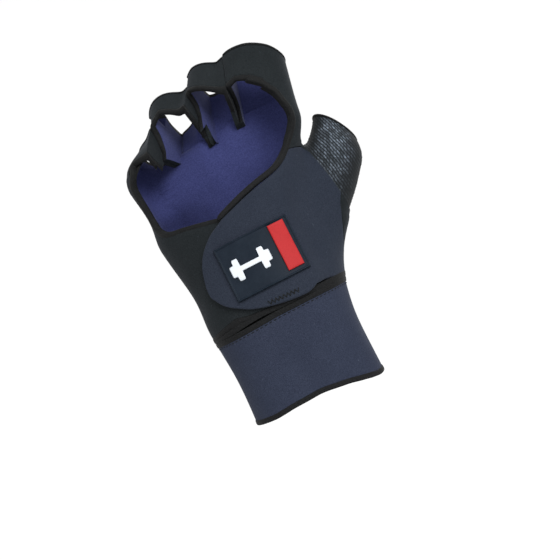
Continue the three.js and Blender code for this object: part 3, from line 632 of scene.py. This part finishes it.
def thumb_hole():
    """Outline of the thumb seam in angle and height, from where the wall meets its plane."""
    heights, turn = np.arange(66.0, 129.5, 0.7), 0.5
    angles = np.arange(20, 160.5, turn)
    a, z = np.meshgrid(angles, heights)
    past = hand_point(a, z, SHELL[1] - seam_thin(z))[..., 0] - seam_x(z)
    left, right = [], []
    for f, height in zip(past, heights):
        on = np.flatnonzero(f > 0)
        if len(on) < 2:
            continue
        i, j = on[0], on[-1]
        left.append((angles[i] - turn * f[i] / (f[i] - f[i - 1]), height))
        # where the wall turns away from the rays, the edge runs on behind the sleeve
        drop = f[j] - f[j + 1]
        right.append((angles[j] + (turn * f[j] / drop if drop < PAST_SEAM else 0), height))
    return np.array(left + right[::-1])


THUMB_HOLE = thumb_hole()


def panel_depths(angle, z):
    spots = THUMB_HOLE * [ARC, 1]
    far = [np.hypot(spots[:, 0] - a * ARC, spots[:, 1] - h).min() for a, h in zip(angle, z)]
    return SHELL[1] - seam_thin(z) * (1 - ease(far, 0, SEAM_NEAR)), SHELL[0]


def lining_depths(angle, z):
    """The lining's cuff lies a little below the rest of it."""
    low = edge(3, angle)
    sink = CUFF_SINK * (1 - ease(z, low - 0.2, low + 1.0))
    return LINING[1] - sink, LINING[0] - sink


def in_sector(table, angle, z):
    inside = (angle > table[0, 0]) & (angle < table[-1, 0])
    return inside & (z > line(table, 1, angle)) & (z < line(table, 2, angle))


def in_outline(outline, angle, z):
    count = np.zeros(len(angle), int)
    for (x0, y0), (x1, y1) in zip(outline, np.roll(outline, -1, axis=0)):
        if y0 != y1:
            count += ((y0 > z) != (y1 > z)) & (angle < (x1 - x0) * (z - y0) / (y1 - y0) + x0)
    return count % 2 == 1


def fine_line(points, step, arc=ARC):
    """Points along a line of (angle, z) with steps of at most step mm."""
    out = [points[0]]
    for (a0, z0), (a1, z1) in zip(points, points[1:]):
        n = max(1, math.ceil(math.hypot((a1 - a0) * arc, z1 - z0) / step))
        out += [(a0 + (a1 - a0) * k / n, z0 + (z1 - z0) * k / n) for k in range(1, n + 1)]
    return out


def palm_layout(cuff=0.0, tuck=0.0):
    """Vertices (angle, z) and triangles of the palm panel, laid out flat. The lining runs
    on by cuff below it and by tuck above it."""
    window = FLAP_WINDOW - [1.5, 0, 2.5] if cuff else FLAP_WINDOW

    def low_edge(a):
        return edge(3, a) - cuff if cuff else edge(4, a) + PALM_LOW_CLEAR

    def high_edge(a):
        return line(PALM_TOP, 1, a) + tuck * ((a < -79.5) | (a > 66))

    def window_low(a):
        return edge(4, a) + 0.4 if cuff else BELOW + 0 * a

    def ring(table):
        lower = [(a, max(low, BELOW)) for a, low, _ in table]
        upper = [(a, min(high, ABOVE)) for a, _, high in table[::-1]]
        return lower + upper + [lower[0]]

    angles = np.linspace(-180, 180, 181)
    low, high = (list(zip(angles, side(angles))) for side in (low_edge, high_edge))
    end = fine_line([low[-1], high[-1]], SPACING)
    sill = np.linspace(14, 113, 50)
    lines = [
        fine_line(low, SPACING), fine_line(high, SPACING), end, [(-180.0, z) for _, z in end],
        fine_line(ring(OPEN_BACK), EDGE_SPACING), fine_line(ring(window), EDGE_SPACING),
        fine_line(list(zip(sill, window_low(sill))), EDGE_SPACING),
        [tuple(p) for p in [*THUMB_HOLE, THUMB_HOLE[0]]],
    ]
    points, edges = [], []
    for row in lines:
        first = len(points)
        points += [(a * ARC, z) for a, z in row]
        edges += [(first + k, first + k + 1) for k in range(len(row) - 1)]
    fixed = np.array(points)
    xs = np.arange(-180 * ARC + SPACING / 2, 180 * ARC, SPACING)
    zs = np.arange(46, 164, SPACING * 0.87)
    grid = np.array([(x + (SPACING / 2 if n % 2 else 0), z) for n, z in enumerate(zs) for x in xs])
    grid = grid[np.abs(grid[:, 0]) < 180 * ARC - 0.6]
    points += [tuple(p) for p in grid
               if np.linalg.norm(fixed - p, axis=1).min() > SPACING * 0.55]
    found = delaunay_2d_cdt(points, edges, [], 0, 1e-4)
    verts, faces = np.array([tuple(v) for v in found[0]]), np.array(found[2])
    verts[:, 0] /= ARC
    a, z = verts[faces].mean(1).T
    keep = (z > low_edge(a)) & (z < high_edge(a)) & ~in_sector(OPEN_BACK, a, z)
    keep &= ~(in_sector(window, a, z) & (z > window_low(a)))
    keep &= ~in_outline(THUMB_HOLE, a, z)
    return verts, faces[keep]


def sheet_body(name, layout, depths, finishes):
    """A closed body from a flat layout: both sides, and a rim along every open edge."""
    verts, faces = layout
    used, faces = np.unique(faces, return_inverse=True)
    verts, faces = verts[used], faces.reshape(-1, 3)
    angle, z = verts.T
    # the two ends of the turn are one line
    left, right = (np.flatnonzero(np.abs(angle - end) < 1e-3) for end in (-180, 180))
    join = np.arange(len(verts))
    join[left[np.argsort(z[left])]] = right[np.argsort(z[right])]
    joined = join[faces]
    out, under = (hand_point(angle, z, depth) for depth in depths(angle, z))
    for side in (out, under):
        side[:, 0] = np.minimum(side[:, 0], seam_x(side[:, 2]))
    points = np.vstack([out, under, (out + under) / 2])
    n = len(verts)
    heads = np.concatenate([joined[:, [0, 1]], joined[:, [1, 2]], joined[:, [2, 0]]]).tolist()
    known = set(map(tuple, heads))
    all_faces = joined.tolist() + (joined[:, ::-1] + n).tolist()
    middle_angle, middle_z = verts[faces].mean(1).T
    cuffed = middle_z < edge(4, middle_angle) + 0.3
    marks = [*np.where(cuffed, 1, 0), *np.where(cuffed, 1, 2)]
    for a, b in heads:
        if (b, a) not in known:
            all_faces += [[b, a, a + 2 * n, b + 2 * n], [b + 2 * n, a + 2 * n, a + n, b + n]]
            marks += [1, 1]
    flat = np.vstack([np.column_stack([angle * ARC, z])] * 3)
    return make_mesh(name, points, outward(points, all_faces), finishes, marks, flat)


dress(sheet_body("palm_panel_cloth", palm_layout(), panel_depths,
                 ["neoprene", "neoprene", "lining"]), "palm_panel")
dress(sheet_body("palm_lining_cloth", palm_layout(CUFF, TUCK), lining_depths,
                 ["tape", "tape", "lining"]), "palm_lining")


# ---------- finger loops
LOOP_TOP_HEM, LOOP_RADIUS = 1.6, 12


def loop_cloth(index):
    name, *_, low_table, high_table = LOOPS[index]
    angles = np.linspace(-180, 180, 145)[:-1]
    share, shift, depth, kind = profile(*SHELL, 15, HEM_WIDTH, LOOP_TOP_HEM).T
    start_in, start_out = (loop_start(index, angles, d) for d in SHELL)
    free = np.isclose(start_out, line(low_table, 1, angles), atol=0.05) & (np.abs(angles) < 125)
    top = ring_curve(high_table, 1, angles)
    on_low = (share == 0)[None, :] & ~free[:, None]
    # where the loop joins the panel, its low edge is plain and has no groove
    plain = np.clip(depth, *SHELL)
    edge_end = np.argmax(share > 0)
    plain[:edge_end] = np.maximum.accumulate(plain[:edge_end])
    deep = np.where(on_low, plain, depth)
    mixed = (np.clip(deep, *SHELL) - SHELL[0]) / (SHELL[1] - SHELL[0])
    low = start_in[:, None] * (1 - mixed) + start_out[:, None] * mixed
    t = low + (top[:, None] - low) * share + np.where(on_low, 0, shift)
    return sweep(
        f"{name}_cloth", finger_point(angles[:, None], t, deep, index=index), True,
        ["neoprene", "tape", "lining"], np.where(on_low & (kind == HEM), CLOTH, kind),
        (np.radians(angles)[:, None] * LOOP_RADIUS, t))


for number, loop in enumerate(LOOPS):
    dress(loop_cloth(number), loop[0])


# ---------- thumb sleeve
STALL_COLUMNS, STALL_ROWS, INNER_STEP = 320, 120, 4
# How far the sleeve runs on under the tape of its mouth
STALL_REACH = 1.1
# Its root: shift down, outer and inner depth, and the extra depth and height of its web
TUCK_SHIFT, TUCK_OUT, TUCK_IN, STALL_WEB, WEB_HEIGHT = -0.4, 0.95, 0.72, 1.3, 7
# Height of a knitted row, dashes round it, height of a dash, lean of the columns
KNIT_ROW, KNIT_CELLS, KNIT_RISE, KNIT_LEAN = 1.83, 40, 0.16, 0.17


def knit_pull(u, v):
    """Height of the knit's dashes from 0 to 1, u in dashes and v in rows."""
    v = v + (0.12 * np.sin(u * 0.7) + 0.06 * np.sin(u * 1.9 + 1))
    row = np.floor(v)
    rib = np.sin(np.pi * (v - row)) ** 2
    cell = u - KNIT_LEAN * row + 0.14 * np.sin(row * 12.9898)
    dash = 0.38 + 0.62 * ease(np.abs(np.mod(cell, 1) - 0.5), 0.5, 0.24)
    chance = np.mod(np.sin(np.mod(np.floor(cell), KNIT_CELLS) * 78.2 + row * 37.7) * 437.5, 1)
    return rib * dash * (0.25 + 0.75 * chance)


def stall_cloth():
    """The knitted sleeve: rows of raised dashes; a painted highlight makes them brighter where they
    face the back.
    """
    angles = np.linspace(-180, 180, STALL_COLUMNS + 1)[:-1]
    middle, root, mouth = (stall_point(angles, t, STALL[1]) for t in (0.5, 0, 1))
    girth = arc_lengths(np.vstack([middle, middle[:1]]))
    height = (np.linalg.norm(mouth - root, axis=1) + STALL_REACH)[:, None]
    share = np.linspace(0, 1, STALL_ROWS)
    pull = knit_pull(girth[:-1][:, None] / girth[-1] * KNIT_CELLS, share * height / KNIT_ROW)
    web = (ease(angles, 35, 65) * (1 - ease(angles, 140, 165)))[:, None]
    shift = np.where(share == 0, TUCK_SHIFT * (1 - web) + 0.05 * web, STALL_REACH * share)
    lift = KNIT_RISE * pull * (ease(share, 0.0, 0.05) * (1 - ease(share, 0.95, 1.0)))
    out_depth = np.where(share == 0, TUCK_OUT, STALL[1] - 0.05 + lift)
    out_depth = out_depth + STALL_WEB * web * (1 - ease(share * height, 0, WEB_HEIGHT))
    inner_share = share[::INNER_STEP]
    in_depth = np.where(inner_share == 0, TUCK_IN, STALL[0])
    outer = stall_point(angles[:, None], share, out_depth, shift)
    inner = stall_point(angles[:, None], inner_share, in_depth, shift[:, ::INNER_STEP])
    # painted highlight: dashes are brightest where the sleeve faces the back, with painted shade
    # towards its sides
    painted_highlight = ease(angles, -56, -22) * (1 - ease(angles, 26, 56))
    light = pull * (0.1 + 0.9 * painted_highlight[:, None])
    return sweep("thumb_stall_knit", np.concatenate([outer, inner[:, ::-1]], 1), True, ["knit"],
                 threads=np.concatenate([light, np.zeros(inner.shape[:2])], 1))


dress(stall_cloth(), "thumb_stall")

# The tape of the mouth: where it starts, its width, inner and outer depth
MOUTH_TAPE = (GAP + 0.6, 1.2, 0.0, 2.0)


def mouth_tape():
    start, width, inner, outer = MOUTH_TAPE
    angles, bend = np.linspace(-180, 180, 121)[:-1], np.linspace(0, math.pi, 9)
    shifts = np.concatenate([
        [start], start + width / 2 - np.cos(bend) * width / 2, [start + width]])
    depths = np.concatenate([[inner], outer - 0.5 + 0.5 * np.sin(bend), [inner]])
    rings = stall_point(angles[:, None], 1.0, depths, shifts)
    return sweep("thumb_tape_binding", rings, True, ["tape"])


dress(mouth_tape(), "thumb_tape")


# ---------- the closing flap
# The flap's low edge stays this far above the hem, and ends this far inside it
FLAP_ON_HEM, FLAP_IN_HEM = 0.15, 1.1
# Its high edge runs on under the flap tape, by angle: from, to and how far
FLAP_UNDER_TAPE = [(-24, -16, 0.5), (64, 66, 0.08)]


def dense(angles, step):
    return np.array(fine_line([(a, 0) for a in angles], step, 1))[:, 0]


def flap_edge(column, angle):
    """An edge of the flap, smooth but for its step at the thumb side."""
    smooth = curve(FLAP_EDGES[:, 0], FLAP_EDGES[:, column], angle)
    return np.where((angle > 83.4) & (angle < 84), line(FLAP_EDGES, column, angle), smooth)


def cut_at_seam(form):
    """Takes off what lies past the thumb seam, and closes the cut."""
    x, z, _, below = CROTCH
    cut = bmesh.ops.bisect_plane(
        form, geom=form.verts[:] + form.edges[:] + form.faces[:], dist=NO_LENGTH,
        plane_co=(x * MM, 0, z * MM), plane_no=(1, 0, below), clear_outer=True)
    rim = [g for g in cut["geom_cut"] if isinstance(g, bmesh.types.BMEdge)]
    bmesh.ops.edgeloop_fill(form, edges=rim)


def flap_cloth():
    share, shift, depth, kind = profile(SHELL[0], SHELL[0] + FLAP_THICKNESS, 52).T
    angles = np.concatenate([
        -56 + 5 * np.linspace(0, 1, 13)[:-1] ** 2, dense([-51, 83.4], 1.0),
        dense([83.4, 84, 84.5, 86, 87.5, 90], 0.3)[1:], dense([90, 112], 0.7)[1:]])
    low, high, hem = flap_edge(1, angles), flap_edge(2, angles), edge(4, angles)
    low = np.where(angles > 58, np.minimum(low, hem + FLAP_ON_HEM), low)
    low = low + (hem - FLAP_IN_HEM - low) * ease(angles, 62, 68)
    for begin, end, more in FLAP_UNDER_TAPE:
        high = high + more * ease(angles, begin, end)
    # at its low, rounded end the flap's edges shrink with it
    room = np.minimum(1, (high - low) / 6)[:, None]
    t = low[:, None] + (high - low)[:, None] * share + shift * room
    rings = hand_point(angles[:, None], t, depth + flap_lift(angles)[:, None])
    flap = sweep("back_flap_cloth", rings, False, ["navy", "tape", "lining"],
                 kind, (angles[:, None] * ARC, t))
    rework(flap.data, cut_at_seam)
    return flap


dress(flap_cloth(), "back_flap")


# ---------- bindings
# The two bindings run on a little over the hems of the outer loops
STRAP_START = [(-79.6, 157.0), (-81.2, 156.4), (-80.9, 154.0)]
FLAP_TAPE_END = [(64.4, 159.6), (62.9, 161.7), (61.4, 163.7), (59.7, 165.4)]
TAPE_STEP = 1.2


def smooth_path(*tables):
    table = np.vstack(tables)
    stops = hand_point(table[:, 0], table[:, 1], 2.0)
    far = arc_lengths(stops)
    at = np.linspace(0, far[-1], int(far[-1] / TAPE_STEP))
    return np.column_stack([curve(far, side, at) for side in stops.T])


def tangents(points):
    """Unit steps along a line, from the point before to the point after."""
    return unit(np.vstack([points[1:], points[-1:]]) - np.vstack([points[:1], points[:-1]]))


def bulge(steps, power):
    """From -1 to 1 along a rounded side: cosine to a power, and the bend itself."""
    bend = np.linspace(math.pi, 0, steps)
    return np.sign(np.cos(bend)) * np.abs(np.cos(bend)) ** power, bend


def tape_body(node, rings, closed, *uv):
    return dress(sweep(f"{node}_binding", rings, closed, ["tape"], 0, uv, sharp=70), node)


def binding(node, points, inner, outer):
    """A folded tape along points near the wall, inner and outer depth for each point."""
    normal = normal_at(points)
    side = unit(np.cross(normal, tangents(points)))
    base = points - normal * (depth_of(points) - ripple(angle_of(points), points[:, 2]))[:, None]
    half = TAPE_WIDTH / 2
    swing, bend = bulge(11, 0.6)
    across = np.concatenate([[-half], swing * half, [half]])
    crown = np.concatenate([[0], 0.45 + 0.55 * np.sin(bend) ** 0.7, [0]])
    taper = np.ones(len(points))
    taper[[0, 1, -2, -1]] = 0.55, 0.9, 0.9, 0.55
    rings = np.stack([
        base + side * (s * taper)[:, None] + normal * (inner + (outer - inner) * c * taper)[:, None]
        for s, c in zip(across, crown)
    ], 1)
    tape_body(node, rings, False, arc_lengths(points)[:, None], across)


binding("strap_tape", smooth_path(STRAP_START, STRAP_TAPE), SHELL[0] - 0.3, SHELL[1] + 0.25)
flap_points = smooth_path(FLAP_TAPE, FLAP_TAPE_END)
flap_base = SHELL[0] + flap_lift(angle_of(flap_points))
binding("flap_tape", flap_points, flap_base - 0.2, flap_base + FLAP_THICKNESS + 0.4)


def hem_body(node, angles, place, low, high, inner, outer, closed=False):
    """A rounded hem from low to high: place(angle, z, depth) gives its points."""
    swing, bend = bulge(25, 0.75)
    share = np.concatenate([[0.02], 0.5 + 0.5 * swing, [0.98]])
    crown = np.concatenate([[0], 0.88 + 0.12 * np.sin(bend) ** 0.8, [0]])
    z = low[:, None] + (high - low)[:, None] * share
    # where the hem is wide, a faint crease runs along its middle
    crease = 0.2 * ease(high - low, 3.2, 5.0)[:, None] * np.exp(-((share - 0.52) / 0.07) ** 2)
    rings = place(angles[:, None], z, inner + (outer - inner) * (crown - crease))
    tape_body(node, rings, closed, angles[:, None] * ARC, z)


ring_angles = np.linspace(-180, 180, 241)[:-1]
# Away from the back, the hem reaches down to the band's upper hem
meeting = 1 - ease(ring_angles, -72, -58) * (1 - ease(ring_angles, 40, 55))
hem_body("hand_hem", ring_angles, hand_point, edge(3, ring_angles) - 0.2 - 0.28 * meeting,
         edge(4, ring_angles), SHELL[0] - 0.3, SHELL[1] + 0.3, closed=True)


# ---------- the wrist band
# Where the band starts, its run past a full turn, how far its cloth is in its hems
WRAP_START, WRAP_OVERLAP, WRAP_IN_HEM = 155, 52, 1.3
# Where its tail rises to lie on the band
WRAP_RISE = (334, 358)


def wrap_point(turn, z, depth):
    lift = WRAP_TAIL_LIFT * ease(turn, *WRAP_RISE)
    return hand_point(wrap_angle(WRAP_START + turn), z, depth + lift)


turns = np.linspace(0, 360 + WRAP_OVERLAP, 330)
wrap_low, wrap_high = (edge(column, WRAP_START + turns) for column in (1, 2))


def wrap_cloth():
    share, shift, depth, kind = profile(0.0, WRAP_THICKNESS, 34).T
    low = wrap_low + HEM_WIDTH - WRAP_IN_HEM
    high = wrap_high - HEM_WIDTH + WRAP_IN_HEM
    z = low[:, None] + (high - low)[:, None] * share + shift
    return sweep("wrist_wrap_cloth", wrap_point(turns[:, None], z, depth), False,
                 ["band", "tape", "lining"], kind, (turns[:, None] * 0.5, z))


dress(wrap_cloth(), "wrist_wrap")
for name, low, high in (("wrap_hem_upper", wrap_high - HEM_WIDTH, wrap_high + 0.15),
                        ("wrap_hem_lower", wrap_low, wrap_low + HEM_WIDTH)):
    hem_body(name, turns, wrap_point, low, high, -0.2, WRAP_THICKNESS + 0.4)


# ---------- stitching
# The zigzag on the flap: its two ends in x and z, its height and number of turns
ZIGZAG = ((-0.8, 59.3), (15.6, 58.5), 2.0, 8)
# The band's running stitch: from and to, mm below the upper hem, pitch, dip
RUNNING = (60, 352, 0.75, 2.6, 0.24)


def thread(name, path, radius):
    """A round sewing thread along points."""
    along = tangents(path)
    side = unit(np.cross(normal_at(path), along))
    out = np.cross(along, side)
    turn = np.linspace(0, 2 * math.pi, 7)[:-1]
    rings = path[:, None] + radius * (
        np.cos(turn)[:, None] * side[:, None] + np.sin(turn)[:, None] * out[:, None])
    return dress(sweep(name, rings, False, ["thread"]), None)


def zigzag_path():
    (x0, z0), (x1, z1), height, turns = ZIGZAG
    at = np.linspace(0, 2 * turns, 12 * turns + 1)
    swing = (np.abs(np.mod(at, 2) - 1) - 0.5) * height
    share = at / (2 * turns)
    return back_point(x0 + (x1 - x0) * share, z0 + (z1 - z0) * share + swing, 0.12)


def running_path():
    start, end, below, pitch, dip = RUNNING
    along = np.linspace(start, end, int((end - start) * 3.2))
    z = edge(2, WRAP_START + along) - HEM_WIDTH - below
    far = arc_lengths(wrap_point(along, z, WRAP_THICKNESS))
    lift = dip * np.sin(2 * math.pi * far / pitch) - 0.06
    return wrap_point(along, z, WRAP_THICKNESS + lift)


thread("flap_zigzag_thread", zigzag_path(), 0.27)
thread("wrap_stitch_thread", running_path(), 0.2)


# ---------- the badge
BADGE_SEAT, LEAST_RISE = 0.4, 0.01
# Top of the badge's field, where the bar and the figure stand
FIELD = BADGE["base"] + 0.02
# The plate's stations from its edge inwards, before its even ones
RIM_STATIONS = [0, 0.07, 0.2, 0.45, 0.6, 0.75, 0.9, 1.05, 1.2, 1.5, 2.0, 2.5]


def moulding(node, x, z, top, under, finish):
    """A closed moulded piece on the flap, between two heights over each x and z."""
    rings = np.concatenate([
        back_point(x, z, BADGE_SEAT + top), back_point(x, z, BADGE_SEAT + under)[:, ::-1]], 1)
    piece = sweep(f"{node}_rubber", rings, False, [finish], sharp=35)
    return dress(piece, node)


def round_edge(side, width):
    """0 on the edge, 1 from width mm inside it, as a quarter circle."""
    s = np.clip(side / width, 0, 1)
    return np.sqrt(s * (2 - s))


def oblong(item, stations, *steps):
    """Points over a badge item: x, z and how far each is inside its edge."""
    sizes = item["width"], item["height"]
    axes = [stations(item[at], *size) for at, *size in zip("xz", sizes, steps)]
    x, z = np.meshgrid(*axes, indexing="ij")
    return x, z, np.minimum(sizes[0] / 2 - np.abs(x - item["x"]),
                            sizes[1] / 2 - np.abs(z - item["z"]))


def plate_stations(centre, size, steps):
    offs = np.concatenate([RIM_STATIONS, np.linspace(2.9, size / 2, steps)])
    half = size / 2 - offs
    return centre + np.concatenate([-half, half[::-1][1:]])


def badge_plate():
    x, z, side = oblong(BADGE, plate_stations, 14, 14)
    inward = 1 - ease(side, BADGE["rim_width"] - 0.6, BADGE["rim_width"])
    rise = LEAST_RISE + (BADGE["base"] + BADGE["rim"] * inward) * round_edge(side, 0.45)
    moulding("badge_plate", x, z, rise, 0.0, "rubber")


def bar_stations(centre, size, steps):
    """Stations across the bar, closer together at both ends."""
    low, high = centre - size / 2, centre + size / 2
    bend = BAR["edge"] * (1 - np.cos(np.linspace(0, math.pi / 2, 5)))
    inner = np.linspace(low + BAR["edge"], high - BAR["edge"], steps)
    return np.concatenate([low + bend[:-1], inner, (high - bend[:-1])[::-1]])


def badge_bar():
    x, z, side = oblong(BAR, bar_stations, 12, 28)
    rise = LEAST_RISE + BAR["rise"] * round_edge(side, BAR["edge"])
    moulding("badge_bar", x, z, FIELD + rise, FIELD, "red")


# A plain dumbbell: share of its half length, half height there
DUMBBELL = np.array([
    (0.4, 1.3), (0.48, 1.35), (0.495, 5.2), (0.53, 5.6), (0.74, 5.6), (0.775, 5.2), (0.79, 3.05),
    (0.83, 3), (0.97, 2.8), (1, 2.2),
])
DUMBBELL_ACROSS = np.array([0.25, 0.5, 0.75, 0.9, 0.97, 1])


def badge_emblem():
    stations = np.concatenate([-DUMBBELL[::-1, 0], DUMBBELL[:, 0]])
    along = np.unique(np.concatenate([stations, np.linspace(-1, 1, 61)]))
    half = np.interp(np.abs(along), DUMBBELL[:, 0], DUMBBELL[:, 1])
    across = np.concatenate([-DUMBBELL_ACROSS[::-1], [0], DUMBBELL_ACROSS])
    x = (EMBLEM["x"] + along * EMBLEM["length"] / 2)[:, None]
    z = EMBLEM["z"] + half[:, None] * across
    ends = np.minimum(1, (1 - np.abs(along)) / 0.03)[:, None]
    rise = EMBLEM["rise"] * np.sqrt(np.clip(1 - across ** 10, 0, 1)) * (0.3 + 0.7 * ends)
    moulding("badge_emblem", x, z, FIELD + rise, FIELD - 0.1, "white")


badge_plate()
badge_bar()
badge_emblem()


# ---------- camera, light, room
# The eye in mm, and cosine and sine of the camera's turn about its line of sight
EYE = (9.2, -370.0, 66.8)
TURN = (0.891, 0.454)
CENTRE = (0.02, 0, 0.1)
# Each light, in metres: place, size, power
LIGHTS = {
    "key": ((0.5, -0.95, 0.6), 0.7, 17), "fill": ((-0.7, -0.9, 0.5), 0.9, 3),
    "rim": ((0.5, 0.7, 0.7), 0.7, 7),
}
# The room's outline: radius and height, from the middle of its floor to the wall
ROOM = [(0, -220), (1200, -220), (2000, -220), (2500, -160), (2800, 0), (3000, 250),
        (3100, 600), (3150, 1200), (3150, 3200)]
ROOM_SIDES = 64


def put(name, data, axes, where):
    """An object with its axes and its place in metres."""
    obj = add_object(name, data)
    m = np.eye(4)
    m[:3, :3], m[:3, 3] = np.column_stack(axes), where
    obj.matrix_world = Matrix(m.tolist())
    return obj


def set_camera():
    data = bpy.data.cameras.new("camera")
    data.lens, data.sensor_width, data.clip_start = 45, 36, 0.01
    axes = ((TURN[0], 0, -TURN[1]), (TURN[1], 0, TURN[0]), (0, -1, 0))
    bpy.context.scene.camera = put("camera", data, axes, np.array(EYE) * MM)


def area_light(name, where, size, power):
    light = bpy.data.lights.new(name, "AREA")
    light.shape, light.size, light.energy = "DISK", size, power
    back = unit(np.subtract(where, CENTRE))
    x = unit(np.cross([0.0, 0, 1], back))
    put(name, light, (x, np.cross(back, x), back), where)


def studio_world():
    world = bpy.data.worlds.new("studio")
    world.use_nodes = True
    sockets = world.node_tree.nodes["Background"].inputs
    sockets["Color"].default_value, sockets["Strength"].default_value = (1, 1, 1, 1), 0.9
    bpy.context.scene.world = world
    bpy.context.scene.view_settings.view_transform = "Standard"


def room():
    """A pale floor that turns up into a round wall far off."""
    turn = [2 * math.pi * k / ROOM_SIDES for k in range(ROOM_SIDES)]
    points = [(0, 0, ROOM[0][1])]
    points += [(r * math.sin(a), r * math.cos(a), z) for r, z in ROOM[1:] for a in turn]
    after = [(k, (k + 1) % ROOM_SIDES) for k in range(ROOM_SIDES)]
    faces = [[0, 1 + k, 1 + n] for k, n in after]
    for b in range(1 + ROOM_SIDES, len(points), ROOM_SIDES):
        a = b - ROOM_SIDES
        faces += [[a + k, b + k, b + n, a + n] for k, n in after]
    MATERIALS["room"] = Shade("room_white").surface(
        Base_Color=(0.3, 0.3, 0.3, 1), Roughness=1.0,
        Emission_Color=(1, 1, 1, 1), Emission_Strength=0.68)
    make_mesh("room", points, faces, ["room"], np.zeros(len(faces)))


set_camera()
for name, light in LIGHTS.items():
    area_light(name, *light)
studio_world()
room()
